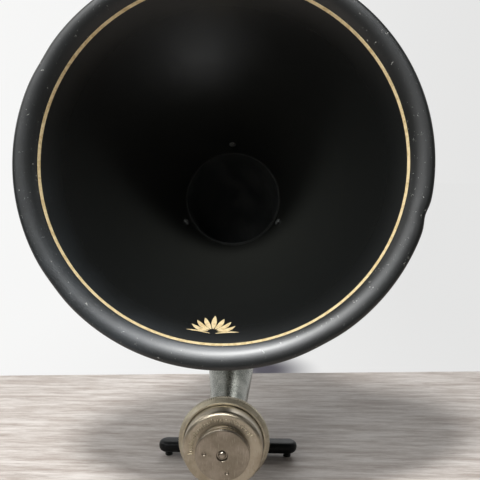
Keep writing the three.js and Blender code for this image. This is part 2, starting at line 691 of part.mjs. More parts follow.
function makeDiaphragmStack() {
  const back = DIAPHRAGM_FRONT + DIAPHRAGM_SHEET;
  const rearGasket = back + GAP;
  const frontGasket = DIAPHRAGM_FRONT - GAP - GASKET_SHEET;
  const gasketAt = (front) => ringBetween(front, front + GASKET_SHEET, GASKET_BORE, DIAPHRAGM_RADIUS);
  return [
    node('front_gasket', gasketAt(frontGasket), paper),
    node('diaphragm', rodAlongY(DIAPHRAGM_FRONT, back, DIAPHRAGM_RADIUS, TURNED_SIDES), steel),
    node('rear_gasket', gasketAt(rearGasket), paper),
  ];
}

function makeSpindleBush() {
  const bore = SPINDLE_RADIUS + GAP;
  const bush = turned([
    [bore, BUSH_FLANGE_FRONT],
    [BUSH_FLANGE_RADIUS, BUSH_FLANGE_FRONT],
    [BUSH_FLANGE_RADIUS, CAP_FACE - GAP],
    [BUSH_RADIUS, CAP_FACE - GAP],
    [BUSH_RADIUS, BUSH_BACK],
    [bore, BUSH_BACK],
  ], 24);
  return node('spindle_bush', bush, brass);
}

function makeGuidePins() {
  return [['upper', 1], ['lower', -1]].map(([side, sign]) => {
    const pin = rodAlongY(CAP_FACE + GAP, CARRIER_FRONT + 4, GUIDE_PIN_RADIUS);
    return node(`guide_pin_${side}`, pin.translate(0, 0, sign * GUIDE_PIN_OFFSET), steel);
  });
}

function makeInletBush() {
  const bush = turned([
    [INLET_BORE, INLET_INNER_END],
    [INLET_RADIUS, INLET_INNER_END],
    [INLET_RADIUS, CAP_RADIUS + GAP],
    [INLET_COLLAR_RADIUS, CAP_RADIUS + GAP],
    [INLET_COLLAR_RADIUS, CAP_RADIUS + 1.8],
    [INLET_COLLAR_RADIUS - 0.8, CAP_RADIUS + 2.8],
    [INLET_BORE, CAP_RADIUS + 2.8],
  ], SMALL_SIDES);
  return node('cord_inlet_bush', onInletAxis(bush), ebonite);
}

function makeTerminals() {
  const top = TERMINAL_TOP;
  const [front, back] = TERMINAL_SPAN;
  const block = boxBetween([-TERMINAL_HALF_WIDTH, front, TERMINAL_BOTTOM], [TERMINAL_HALF_WIDTH, back, top]);
  const holes = [];
  const screws = [];
  for (const [side, x] of [['left', -TERMINAL_X], ['right', TERMINAL_X]]) {
    const head = rodAlongZ(top + GAP, top + 1.3, TERMINAL_HEAD_RADIUS);
    const shank = rodAlongZ(top - 3.6, top + 1, TERMINAL_SCREW_RADIUS);
    const hole = rodAlongZ(top - 4, top + 1, TERMINAL_HOLE_RADIUS);
    holes.push(hole.translate(x, TERMINAL_ALONG, 0));
    screws.push(node(`terminal_screw_${side}`, join(head, shank).translate(x, TERMINAL_ALONG, 0), brass));
  }
  return [node('terminal_block', cut(block, ...holes), ebonite), ...screws];
}

// ---------------------------------------------------------------- adjusting knob

function makeKnob() {
  const rim = KNOB_RADIUS;
  const recessFloor = KNOB_FACE + KNOB_RECESS_DEPTH;
  const shell = turned([
    [SPINDLE_RADIUS + GAP, recessFloor],
    [KNOB_RECESS_RADIUS, recessFloor],
    [KNOB_RECESS_RADIUS, KNOB_FACE],
    ...arc(rim - KNOB_EDGE, KNOB_FACE + KNOB_EDGE, KNOB_EDGE, -Math.PI / 2, 0, 3),
    ...KNOB_GROOVE.map(([change, along]) => [rim + change, along]),
    [rim, KNOB_BACK],
    [rim - KNOB_SHEET, KNOB_BACK],
    [rim - KNOB_SHEET, KNOB_FACE + KNOB_SHEET],
    [KNOB_HUB_RADIUS, KNOB_FACE + KNOB_SHEET],
    [KNOB_HUB_RADIUS, KNOB_HUB_BACK],
    [SPINDLE_RADIUS + GAP, KNOB_HUB_BACK],
  ]);
  const dimples = DIMPLE_ANGLES.map((angle) => {
    const dimple = rodAlongY(KNOB_FACE - 1, KNOB_FACE + DIMPLE_DEPTH, DIMPLE_RADIUS);
    return dimple.translate(DIMPLE_CIRCLE * Math.cos(angle), 0, DIMPLE_CIRCLE * Math.sin(angle));
  });
  return node('adjusting_knob', cut(shell, ...dimples), nickelPlate);
}

function makeSpindle() {
  const spindle = rodAlongY(KNOB_FACE + KNOB_RECESS_DEPTH + 0.2, CARRIER_BACK, SPINDLE_RADIUS);
  const screwHole = rodAlongY(KNOB_FACE, CAP_FACE - 1, SPINDLE_SCREW_RADIUS);
  return node('adjusting_spindle', cut(spindle, screwHole), steel);
}

function makeSpindleClip() {
  const front = BUSH_BACK + GAP;
  const clip = ringBetween(front, front + CLIP_SHEET, SPINDLE_RADIUS + 0.2, CLIP_RADIUS, 20);
  return node('spindle_clip', clip, steel);
}

function makeKnobScrew() {
  const seat = KNOB_FACE + KNOB_RECESS_DEPTH - GAP;
  const shank = SPINDLE_SCREW_RADIUS - GAP;
  const dome = KNOB_SCREW_DOME.map(([radius, rise]) => [radius, seat - rise]);
  const screw = turned([[0, BUSH_FLANGE_FRONT], [shank, BUSH_FLANGE_FRONT], [shank, seat], ...dome], 20);
  return node('knob_screw', screw, brass);
}

// ---------------------------------------------------------------- magnet system

const CARRIER_BACK = CARRIER_FRONT + CARRIER_SHEET;
const MAGNET_FRONT = CARRIER_BACK + GAP;
const SIDES = [['left', -1], ['right', 1]];

/** A box given by its nearer and farther distances from the middle plane, on one side of it. */
function sideBox(sign, [near, far], [front, back], halfHeight) {
  const edges = [sign * near, sign * far].sort((a, b) => a - b);
  return boxBetween([edges[0], front, -halfHeight], [edges[1], back, halfHeight]);
}

function makeCarrier() {
  const plate = turned([
    [SPINDLE_RADIUS + GAP, CARRIER_HUB_FRONT],
    [CARRIER_HUB_RADIUS, CARRIER_HUB_FRONT],
    [CARRIER_HUB_RADIUS, CARRIER_FRONT],
    [CARRIER_RADIUS, CARRIER_FRONT],
    [CARRIER_RADIUS, CARRIER_BACK],
    [SPINDLE_RADIUS + GAP, CARRIER_BACK],
  ]);
  const holeThrough = (radius) => rodAlongY(CARRIER_FRONT - 1, CARRIER_BACK + 1, radius);
  const pinHoles = [-1, 1].map((side) => {
    return holeThrough(GUIDE_PIN_RADIUS + 0.4).translate(0, 0, side * GUIDE_PIN_OFFSET);
  });
  const screwHoles = SIDES.map(([, sign]) => {
    return holeThrough(POLE_SCREW_HOLE_RADIUS).translate(sign * POLE_SCREW_X, 0, 0);
  });
  return node('magnet_carrier', cut(plate, ...pinHoles, ...screwHoles), brass);
}

/** An open ring magnet whose mouth is at the bottom. */
function makeMagnet() {
  const [from, to] = [-Math.PI / 2 + MAGNET_MOUTH, 1.5 * Math.PI - MAGNET_MOUTH];
  const shape = new THREE.Shape();
  shape.absarc(0, 0, MAGNET_OUTER, from, to);
  shape.absarc(0, 0, MAGNET_INNER, to, from, true);
  return node('permanent_magnet', plateAt(shape, MAGNET_FRONT + MAGNET_THICKNESS, MAGNET_THICKNESS), magnetSteel);
}

function makePolePiece([side, sign]) {
  const footBack = MAGNET_FRONT + POLE_FOOT;
  const foot = sideBox(sign, [POLE_INNER, MAGNET_INNER - 1.5], [MAGNET_FRONT, footBack], POLE_HALF_HEIGHT);
  const core = sideBox(sign, [POLE_INNER, POLE_INNER + POLE_CORE], [MAGNET_FRONT, POLE_TIP], POLE_HALF_HEIGHT);
  const screwHole = rodAlongY(CARRIER_FRONT, POLE_TIP, POLE_SCREW_HOLE_RADIUS);
  screwHole.translate(sign * POLE_SCREW_X, 0, 0);
  return node(`pole_piece_${side}`, cut(join(foot, core), screwHole), steel);
}

function makePoleScrew([side, sign]) {
  const headFront = MAGNET_FRONT + POLE_FOOT + GAP;
  const head = rodAlongY(headFront, headFront + POLE_SCREW_HEAD, POLE_SCREW_HEAD_RADIUS);
  const shank = rodAlongY(CARRIER_FRONT, headFront + POLE_SCREW_HEAD / 2, POLE_SCREW_RADIUS);
  return node(`pole_screw_${side}`, join(head, shank).translate(sign * POLE_SCREW_X, 0, 0), steel);
}

const COIL_FRONT = MAGNET_FRONT + POLE_FOOT + GAP;
const COIL_BACK = POLE_TIP - GAP;
const BOBBIN_FLANGE = 0.6;
const BOBBIN_TUBE = 0.5;

function makeBobbin([side, sign]) {
  const [near, far] = [POLE_INNER - GAP, POLE_INNER + POLE_CORE + GAP];
  const reach = BOBBIN_TUBE + COIL_DEPTH;
  const windowHeight = POLE_HALF_HEIGHT + GAP;
  const blank = sideBox(sign, [near - reach, far + reach], [COIL_FRONT, COIL_BACK], windowHeight + reach);
  const windowBox = sideBox(sign, [near, far], [COIL_FRONT - 1, COIL_BACK + 1], windowHeight);
  const grooveSpan = [COIL_FRONT + BOBBIN_FLANGE, COIL_BACK - BOBBIN_FLANGE];
  const groove = sideBox(sign, [near - reach - 1, far + reach + 1], grooveSpan, windowHeight + reach + 1);
  const tube = sideBox(sign, [near - BOBBIN_TUBE, far + BOBBIN_TUBE], grooveSpan, windowHeight + BOBBIN_TUBE);
  return node(`bobbin_${side}`, cut(blank, cut(groove, tube), windowBox), ebonite);
}

function makeCoil([side, sign]) {
  const [near, far] = [POLE_INNER - GAP - BOBBIN_TUBE, POLE_INNER + POLE_CORE + GAP + BOBBIN_TUBE];
  const height = POLE_HALF_HEIGHT + GAP + BOBBIN_TUBE;
  const span = [COIL_FRONT + BOBBIN_FLANGE + 0.2, COIL_BACK - BOBBIN_FLANGE - 0.2];
  const wound = COIL_DEPTH - 0.3;
  const outer = sideBox(sign, [near - wound, far + wound], span, height + wound);
  const inner = sideBox(sign, [near - 0.2, far + 0.2], [span[0] - 1, span[1] + 1], height + 0.2);
  return node(`coil_${side}`, cut(outer, inner), copper);
}

/** The wire of a helical spring about the Y axis. */
class SpringLine extends THREE.Curve {
  constructor(radius, front, back, turns) {
    super();
    Object.assign(this, { radius, front, back, turns });
  }

  getPoint(t, target = new THREE.Vector3()) {
    const angle = 2 * Math.PI * this.turns * t;
    const along = this.front + (this.back - this.front) * t;
    return target.set(this.radius * Math.cos(angle), along, this.radius * Math.sin(angle));
  }
}

function makeSpring() {
  const wire = SPRING_WIRE_RADIUS;
  const front = CAP_FACE + CAP_SHEET + GAP + wire;
  const back = CARRIER_FRONT - 0.5 - wire;
  const line = new SpringLine(SPRING_RADIUS, front, back, SPRING_TURNS);
  const section = new THREE.Shape().absarc(0, 0, wire, 0, 2 * Math.PI);
  const spring = new THREE.ExtrudeGeometry(section, { steps: 36, extrudePath: line, curveSegments: 3 });
  return node('adjusting_spring', spring, steel);
}

// ---------------------------------------------------------------- assembly

function makeStand() {
  const stand = new THREE.Group();
  stand.add(makeFoot(), ...makeFeltPads(), makeNeck(), makeNeckBolt(), makeNeckWasher());
  return stand;
}

function makeHorn() {
  const horn = new THREE.Group();
  const screws = ['top', 'right', 'left'].map((side, number) => makeBellScrew(`bell_screw_${side}`, number));
  horn.add(makeBell(), makeThroatGasket(), ...screws);
  return horn;
}

function makeDriver() {
  const driver = new THREE.Group();
  driver.position.z = CAPSULE_HEIGHT;
  driver.add(makeFrontCap(), makeClampRing(), makeRearHousing(), makeSetScrew(), ...makeDiaphragmStack());
  driver.add(makeSpindleBush(), ...makeGuidePins(), makeInletBush(), ...makeTerminals(), makeSpring());
  driver.add(makeKnob(), makeSpindle(), makeSpindleClip(), makeKnobScrew());
  driver.add(makeCarrier(), makeMagnet(), ...SIDES.map(makePolePiece), ...SIDES.map(makePoleScrew));
  driver.add(...SIDES.map(makeBobbin), ...SIDES.map(makeCoil));
  return driver;
}

const loudspeaker = new THREE.Group();
loudspeaker.add(makeStand(), makeHorn(), makeDriver());

const extent = new THREE.Box3().setFromObject(loudspeaker, true);
const middle = extent.getCenter(new THREE.Vector3());
loudspeaker.position.set(-middle.x, -middle.y, -extent.min.z);

export default loudspeaker;
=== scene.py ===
import json
import math

import bmesh
import bpy
from mathutils import Matrix, Vector


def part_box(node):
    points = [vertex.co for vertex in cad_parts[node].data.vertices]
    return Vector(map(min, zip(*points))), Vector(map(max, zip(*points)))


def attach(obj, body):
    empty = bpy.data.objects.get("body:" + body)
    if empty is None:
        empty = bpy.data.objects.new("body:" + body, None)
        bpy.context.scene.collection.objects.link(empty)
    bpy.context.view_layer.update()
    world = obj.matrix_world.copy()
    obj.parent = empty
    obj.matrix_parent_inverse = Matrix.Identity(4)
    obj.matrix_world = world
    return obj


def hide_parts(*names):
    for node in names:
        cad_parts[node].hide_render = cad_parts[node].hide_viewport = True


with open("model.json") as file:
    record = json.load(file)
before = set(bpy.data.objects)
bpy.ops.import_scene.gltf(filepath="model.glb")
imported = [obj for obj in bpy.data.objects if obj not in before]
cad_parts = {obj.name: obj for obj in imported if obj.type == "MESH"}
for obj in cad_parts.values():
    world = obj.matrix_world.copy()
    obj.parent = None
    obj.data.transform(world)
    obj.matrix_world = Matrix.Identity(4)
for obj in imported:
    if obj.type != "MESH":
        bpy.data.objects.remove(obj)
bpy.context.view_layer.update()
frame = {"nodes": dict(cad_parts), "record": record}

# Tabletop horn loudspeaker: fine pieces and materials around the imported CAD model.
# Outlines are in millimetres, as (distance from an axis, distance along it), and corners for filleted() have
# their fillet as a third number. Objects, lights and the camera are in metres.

MM = 0.001
SCENE = bpy.context.scene

# ---------------------------------------------------------------- driving dimensions, millimetres

BELL_TILT = math.radians(12.6)
BELL_DEPTH = 240
BELL_SHEET = 1.0
THROAT_RADIUS = 58.8
WALL_END_RADIUS = 168
WALL_END = 233.4                # along the bell's axis from the throat edge
WALL_STRAIGHTNESS = 0.612
RIM_RADIUS = 190
FLARE_RADIUS = 22.1             # of the wall's last turn, from its end to the rim
CURL_RADIUS = 3.47              # of the roll at the sheet's edge
GASKET_BEHIND_THROAT = 0.9      # middle of the throat gasket behind the throat edge
BELL_SIDES = 288
BELL_SCREW_ALONG = 21           # from the throat edge
BELL_SCREW_OUTLINE = [(0, -8.5, 0), (1.9, -8.5, 0.4), (1.9, 0.45, 0), (4.1, 0.45, 0.2), (3.9, 1.5, 0.5),
                      (2.6, 2.7, 1.2), (0, 3.1, 0)]
SCREW_SLOT = ((-0.5, 1.9, -6), (0.5, 5, 6))     # opposite corners
GOLD_LINE_WIDTH = 3.4
GILT_LIFT = 0.12                # of the paint's face over the wall

LEAD_LENGTH = 16.7              # of the neck's straight start
WIDE_ARC_RADIUS = 358
WIDE_ARC_TURN = math.radians(37.3)
TIGHT_ARC_RADIUS = 85
THROAT_SEAT = 3
PLUG_LENGTH = 11
NECK_FLARE = 1.3
NECK_RADII = (16.5, 64.6)       # at its start in the driver's hub, and at the throat
BORE_RADII = (12.5, 57.5)
NECK_SIDES = 80
COLLAR_LENGTH = 30
COLLAR_WALL = 4.5
COLLAR_GAP = 0.9
THROAT_STEP = 1.8               # depth of the neck's seat for the throat gasket
SCREW_BOSS_OUTLINE = [(0, -11, 0), (7, -11, 1.5), (7.4, -2, 0), (0, -2, 0)]
LUG_HALF_WIDTH = 11
LUG_HALF_LENGTH = 20
LUG_CORNER = 6
LUG_LAYERS = [                  # (height over the saddle, how far the outline grows)
    (0.3, -0.7), (1.0, 0), (4, 0), (6, 0.25), (8, 0.9), (10, 2), (12, 3.4), (14, 4.6), (20, 6),
]

CAP_FACE = -6                   # along the driver's axis, as in the CAD model
CAP_RADIUS = 38.6
CAP_SHEET = 1.8
CAP_BORE = 6
CORD_HOLE_RADIUS = 3.4
FLANGE_FRONT = 13.7
FLANGE_RADIUS = 40.6
RING_FRONT = 11.2
RING_BACK = 20
RING_RADIUS = 44.6
RING_FACE_RADIUS = 41
HOUSING_RADIUS = 40.9
HOUSING_FRONT = 18.8
HOUSING_BORE = 34.5
HUB_RADIUS = 20.5
HUB_END = 44
SET_SCREW_HOLE_RADIUS = 2.2
KNOB_FACE = -16
KNOB_BACK = -6.6
KNOB_RADIUS = 25.7
KNOB_WALL = 2
KNOB_BORE = 3.3
KNOB_HUB_RADIUS = 9.5
KNOB_GROOVE = -10.1
KNOB_GROOVE_DEPTH = 0.8

BAR_WIDTH = 150.6
BAR_HALF_DEPTH = 10
LEG_HALF_WIDTH = 12
FOOT_BOTTOM = 5
FOOT_LAYERS = [                 # (how far the outline draws in, height above the foot's underside)
    (4.6, 0), (2.7, 0.6), (1.2, 1.8), (0.3, 3.6), (0, 5.4), (0, 7.4), (0.5, 9.3), (1.6, 10.8), (3.3, 11.7),
    (5.2, 12.0),
]
FOOT_FILLET = 18
FELT_THICKNESS = 2.2
TOE_RADIUS = 3.6
TOE_TOP = 8
SADDLE_TOP = 26
BOSS_BOTTOM = 6
BOSS_RADII = (22, 21, 17.5)     # at the bottom, at the shoulder and at the flat top
BOLT_HEAD_RADIUS = 9.5          # of the recess for the bolt's head and washer
BOLT_HEAD_TOP = 12.5
BOLT_HOLE_RADIUS = 4.4
TOUCH_GAP = 0.3                 # left between two pieces that touch

# ---------------------------------------------------------------- places, from the frame


def middle(node):
    low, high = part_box(node)
    return (low + high) / 2


BELL_AXIS = Vector((0, -math.cos(BELL_TILT), math.sin(BELL_TILT)))
BELL_DOWN = Vector((0, -math.sin(BELL_TILT), -math.cos(BELL_TILT)))
THROAT = middle("throat_gasket") + BELL_AXIS * GASKET_BEHIND_THROAT * MM
DRIVER = Vector((0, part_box("front_cap")[0].y - CAP_FACE * MM, middle("diaphragm").z))
NECK_ORIGIN = Vector((0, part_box("neck_casting")[0].y, DRIVER.z))
SADDLE = middle("neck_bolt")
TOES = {side: middle("felt_pad_" + side) for side in ("left", "right", "rear")}


def axes(origin, x, y, z):
    """Matrix from a piece's own axes in millimetres to the frame in metres."""
    turn = Matrix((x, y, z)).transposed().to_4x4()
    return Matrix.Translation(origin) @ turn @ Matrix.Scale(MM, 4)


X, Y, Z = Vector((1, 0, 0)), Vector((0, 1, 0)), Vector((0, 0, 1))
BELL_PLACE = axes(THROAT, X, BELL_AXIS, BELL_DOWN)
DRIVER_PLACE = axes(DRIVER, X, Y, Z)


def upright(point):
    """Own +Y points up, for pieces turned about a vertical line."""
    return axes(Vector((point.x, point.y, 0)), X, Z, -Y)


# ---------------------------------------------------------------- outlines


def spread(start, end, count):
    return [start + (end - start) * i / count for i in range(count + 1)]


def arc(centre, radius, start, end, count):
    """Points on an arc about centre, angles in degrees, both ends included."""
    turns = [math.radians(angle) for angle in spread(start, end, count)]
    return [(centre[0] + radius * math.cos(t), centre[1] + radius * math.sin(t)) for t in turns]


def filleted(corners, steps, closed=True):
    """An outline from corners (radius, along, fillet), each rounded by its own fillet."""
    points = []
    last = len(corners) - 1
    for i, (radius, along, fillet) in enumerate(corners):
        corner = Vector((radius, along))
        if not fillet or (not closed and i in (0, last)):
            points.append(tuple(corner))
            continue
        before = Vector(corners[i - 1][:2]) - corner
        after = Vector(corners[(i + 1) % len(corners)][:2]) - corner
        half = before.angle(after) / 2
        reach = min(fillet / math.tan(half), 0.49 * before.length, 0.49 * after.length)
        size = reach * math.tan(half)
        centre = corner + (before.normalized() + after.normalized()).normalized() * size / math.sin(half)
        start = corner + before.normalized() * reach - centre
        end = corner + after.normalized() * reach - centre
        for part in spread(0, 1, steps):
            points.append(tuple(centre + start.slerp(end, part) * size))
    return points


def offset(points, distance):
    """The points of an open outline moved to its right by a distance."""
    moved = []
    for i, point in enumerate(points):
        ahead = Vector(points[min(i + 1, len(points) - 1)]) - Vector(points[max(i - 1, 0)])
        ahead.normalize()
        moved.append((point[0] + distance * ahead.y, point[1] - distance * ahead.x))
    return moved


# ---------------------------------------------------------------- mesh making


def turned(outline, sides, place, closed=True, warp=None):
    """A bmesh of an outline turned about its own Y axis. warp moves a point (radius, along, turn)."""
    mesh = bmesh.new()
    rings = []
    for side in range(sides):
        turn = 2 * math.pi * side / sides
        ring = []
        for radius, along in outline:
            r, a = warp(radius, along, turn) if warp else (radius, along)
            ring.append(mesh.verts.new(place @ Vector((r * math.sin(turn), a, r * math.cos(turn)))))
        rings.append(ring)
    count = len(outline)
    for side in range(sides):
        here, there = rings[side], rings[(side + 1) % sides]
        for i in range(count if closed else count - 1):
            j = (i + 1) % count
            mesh.faces.new((here[i], there[i], there[j], here[j]))
    return mesh


def swept(rings, closed_ends=True, lining_from=None):
    """A bmesh through rings of points, each ring closed on itself. Rings from lining_from on use slot 1."""
    mesh = bmesh.new()
    loops = [[mesh.verts.new(point) for point in ring] for ring in rings]
    for number, (here, there) in enumerate(zip(loops, loops[1:])):
        for i in range(len(here)):
            j = (i + 1) % len(here)
            face = mesh.faces.new((here[i], here[j], there[j], there[i]))
            face.material_index = int(lining_from is not None and number >= lining_from)
    if closed_ends:
        mesh.faces.new(loops[0])
        mesh.faces.new(loops[-1])
    return mesh


MERGE = 2e-6
SHARP_ANGLE = math.radians(38)


def as_object(name, mesh, *materials):
    bmesh.ops.remove_doubles(mesh, verts=mesh.verts, dist=MERGE)
    bmesh.ops.dissolve_degenerate(mesh, edges=mesh.edges, dist=MERGE / 4)
    bmesh.ops.recalc_face_normals(mesh, faces=mesh.faces)
    data = bpy.data.meshes.new(name)
    mesh.to_mesh(data)
    mesh.free()
    for material in materials:
        data.materials.append(material)
    item = bpy.data.objects.new(name, data)
    SCENE.collection.objects.link(item)
    return item


def append(mesh, strip):
    """Moves the faces of one bmesh into another."""
    data = bpy.data.meshes.new("strip")
    strip.to_mesh(data)
    strip.free()
    mesh.from_mesh(data)
    bpy.data.meshes.remove(data)


def combine(item, tools, operation):
    """Joins tools to the item or cuts them out of it, and removes the tools."""
    for tool in tools:
        modifier = item.modifiers.new("combine", "BOOLEAN")
        modifier.operation = operation
        modifier.solver = "EXACT"
        modifier.object = tool
    graph = bpy.context.evaluated_depsgraph_get()
    result = bpy.data.meshes.new_from_object(item.evaluated_get(graph))
    item.modifiers.clear()
    item.data = result
    for tool in tools:
        bpy.data.objects.remove(tool)


DRILL_REACH = 8


def drill(item, radius, distance, place):
    """Cuts a round hole through the wall that is at a distance along the place's own Y axis."""
    start, end = distance - DRILL_REACH, distance + DRILL_REACH
    outline = [(0, start), (radius, start), (radius, end), (0, end)]
    combine(item, [as_object("cutter", turned(outline, 32, place, closed=False), None)], "DIFFERENCE")


def settled(item, body="stand", replaces=()):
    """Shades a finished piece smoothly between its sharp edges, and puts it on its body."""
    item.data.shade_smooth()
    item.data.set_sharp_from_angle(angle=SHARP_ANGLE)
    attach(item, body)
    if replaces:
        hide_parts(*replaces)
    return item


# ---------------------------------------------------------------- material making


class Finish:
    """A node material around one Principled shader, with object coordinates in metres."""

    def __init__(self, name, **constants):
        self.material = bpy.data.materials.new(name)
        self.material.use_nodes = True
        self.tree = self.material.node_tree
        self.shader = self.tree.nodes["Principled BSDF"]
        self.place = self.add("ShaderNodeTexCoord").outputs["Object"]
        for socket, value in constants.items():
            self.shader.inputs[socket.replace("_", " ")].default_value = value

    def add(self, kind, inputs=None, **settings):
        node = self.tree.nodes.new(kind)
        for key, value in settings.items():
            setattr(node, key, value)
        for key, value in (inputs or {}).items():
            if isinstance(value, bpy.types.NodeSocket):
                self.tree.links.new(value, node.inputs[key])
            else:
                node.inputs[key].default_value = value
        return node

    def noise(self, scale, detail=4, roughness=0.55, place=None):
        inputs = {"Vector": place or self.place, "Scale": scale, "Detail": detail, "Roughness": roughness}
        return self.add("ShaderNodeTexNoise", inputs).outputs["Fac"]

    def cells(self, scale):
        inputs = {"Vector": self.place, "Scale": scale}
        return self.add("ShaderNodeTexVoronoi", inputs).outputs["Distance"]

    def stretched(self, factors, turn=(0, 0, 0)):
        inputs = {"Vector": self.place, "Scale": factors, "Rotation": turn}
        return self.add("ShaderNodeMapping", inputs).outputs["Vector"]

    def ramp(self, value, low, high, start=0.0, end=1.0):
        inputs = {"Value": value, "From Min": low, "From Max": high, "To Min": start, "To Max": end}
        return self.add("ShaderNodeMapRange", inputs, interpolation_type="SMOOTHSTEP").outputs["Result"]

    def times(self, *values):
        product = values[0]
        for value in values[1:]:
            product = self.add("ShaderNodeMath", {0: product, 1: value}, operation="MULTIPLY").outputs[0]
        return product

    def plus(self, first, second):
        return self.add("ShaderNodeMath", {0: first, 1: second}, operation="ADD").outputs[0]

    def tint(self, factor, first, second):
        inputs = {"Factor": factor, "A": first, "B": second}
        return self.add("ShaderNodeMix", inputs, data_type="RGBA").outputs[2]

    def attribute(self, name):
        return self.add("ShaderNodeAttribute", attribute_name=name).outputs["Fac"]

    def bump(self, height, distance, strength):
        inputs = {"Height": height, "Distance": distance, "Strength": strength}
        if self.shader.inputs["Normal"].links:
            inputs["Normal"] = self.shader.inputs["Normal"].links[0].from_socket
        self.link("Normal", self.add("ShaderNodeBump", inputs).outputs["Normal"])

    def link(self, socket, value):
        self.tree.links.new(value, self.shader.inputs[socket])


def colour(red, green, blue):
    return (red, green, blue, 1.0)


def black_enamel():
    """Black enamel: satin rim, hazy with a painted bluish sheen towards the lower left; painted light lifts
    the black deep inside; dust specks, scuffs and a few chips.
    """
    finish = Finish("black_enamel")
    rim = finish.attribute("rim")
    depth = finish.attribute("depth")
    # Painted sheen: the rim's haze and mottle grow towards the lower left, standing in for the lamp's
    # reflection spreading there, over the paint's real haze.
    parts = finish.add("ShaderNodeSeparateXYZ", {"Vector": finish.place})
    diagonal = finish.plus(parts.outputs["X"], parts.outputs["Z"])
    lower_left_rim_sheen = finish.times(rim, finish.ramp(diagonal, 0.21, 0.0, 0.08, 1.0))
    haze_and_sheen = finish.times(finish.ramp(finish.noise(19, 7, 0.55), 0.20, 0.74), lower_left_rim_sheen)
    scuff_lines = finish.noise(900, 3, 0.6, finish.stretched((1, 1, 0.25), (0.5, 0.2, 0.9)))
    scuffs = finish.ramp(scuff_lines, 0.60, 0.72)
    mottle_and_sheen = finish.times(finish.ramp(finish.noise(420, 6, 0.75), 0.52, 0.72), lower_left_rim_sheen)
    specks = finish.ramp(finish.cells(330), 0.075, 0.045)
    dust = finish.times(specks, finish.ramp(finish.noise(60), 0.56, 0.62))
    worn_through = finish.ramp(finish.noise(240, 7, 0.75), 0.64, 0.66)
    chips = finish.times(worn_through, finish.ramp(rim, 0.7, 1))
    # Painted light: the black is lifted deeper in the bell, where little light reaches.
    base = finish.tint(depth, colour(0.0050, 0.0056, 0.0053), colour(0.017, 0.018, 0.016))
    # Painted sheen over real haze: the rim turns lighter and bluer towards the lower left.
    base = finish.tint(finish.times(haze_and_sheen, 0.85), base, colour(0.030, 0.037, 0.043))
    base = finish.tint(finish.times(mottle_and_sheen, 0.22), base, colour(0.12, 0.14, 0.15))
    base = finish.tint(finish.times(scuffs, rim, 0.12), base, colour(0.11, 0.125, 0.13))
    base = finish.tint(finish.times(dust, 0.30), base, colour(0.30, 0.31, 0.30))
    base = finish.tint(chips, base, colour(0.40, 0.40, 0.38))
    finish.link("Base Color", base)
    rough = finish.plus(finish.ramp(rim, 0.06, 1, 0.27, 0.36), finish.times(mottle_and_sheen, 0.10))
    finish.link("Roughness", finish.plus(rough, finish.times(dust, 0.4)))
    finish.bump(finish.noise(16, 3), 0.0010, 0.4)
    finish.bump(finish.noise(190, 4), 0.00004, 0.4)
    return finish.material


def worn_enamel():
    """Black enamel rubbed down to the metal on raised heads."""
    finish = Finish("worn_enamel", Metallic=0.6)
    worn = finish.ramp(finish.noise(500, 6, 0.7), 0.42, 0.60)
    finish.link("Base Color", finish.tint(worn, colour(0.015, 0.016, 0.016), colour(0.30, 0.31, 0.30)))
    finish.link("Roughness", finish.ramp(worn, 0, 1, 0.30, 0.42))
    finish.bump(worn, 0.00008, 0.5)
    return finish.material


def gilt():
    finish = Finish("gilt", Metallic=0.2)
    worn = finish.ramp(finish.noise(240, 6, 0.6), 0.40, 0.66)
    base = finish.tint(worn, colour(0.90, 0.74, 0.44), colour(0.68, 0.52, 0.26))
    finish.link("Base Color", base)
    finish.link("Roughness", finish.ramp(worn, 0, 1, 0.34, 0.52))
    finish.bump(finish.noise(700, 3), 0.00005, 0.6)
    return finish.material


def nickel_plate(name, light, dark, rough):
    """Old nickel plate: warm grey, clouded, with grime patches and fine scratches."""
    finish = Finish(name, Metallic=1.0)
    cloud = finish.ramp(finish.noise(55, 6, 0.6), 0.36, 0.68)
    grime = finish.ramp(finish.noise(170, 8, 0.7), 0.55, 0.75)
    lines = finish.noise(1500, 2, 0.5, finish.stretched((1, 1, 0.08), (0, 0.7, 0)))
    scratches = finish.ramp(lines, 0.60, 0.70)
    base = finish.tint(cloud, colour(*light), colour(*dark))
    base = finish.tint(finish.times(grime, 0.5), base, colour(0.19, 0.165, 0.105))
    base = finish.tint(finish.times(scratches, 0.25), base, colour(0.70, 0.67, 0.61))
    finish.link("Base Color", base)
    clouded = finish.ramp(cloud, 0, 1, rough, rough + 0.1)
    finish.link("Roughness", finish.plus(clouded, finish.times(grime, 0.14)))
    finish.bump(finish.noise(420, 5, 0.6), 0.00006, 0.5)
    finish.bump(scratches, 0.00002, 0.4)
    return finish.material


def cast_aluminium():
    """Sand-cast metal: grey, speckled with darker pits and pale worn grains."""
    finish = Finish("cast_aluminium", Metallic=0.88)
    grain = finish.noise(520, 5, 0.7)
    patches = finish.ramp(finish.noise(70, 6, 0.65), 0.38, 0.66)
    pits = finish.ramp(finish.cells(420), 0.30, 0.16)
    base = finish.tint(patches, colour(0.29, 0.295, 0.265), colour(0.15, 0.16, 0.14))
    base = finish.tint(finish.times(finish.ramp(grain, 0.52, 0.68), 0.5), base, colour(0.60, 0.61, 0.55))
    base = finish.tint(finish.times(pits, 0.75), base, colour(0.06, 0.065, 0.055))
    finish.link("Base Color", base)
    finish.link("Roughness", finish.ramp(grain, 0.3, 0.7, 0.20, 0.38))
    finish.bump(finish.noise(60, 3), 0.0006, 0.3)
    finish.bump(grain, 0.0003, 0.6)
    return finish.material


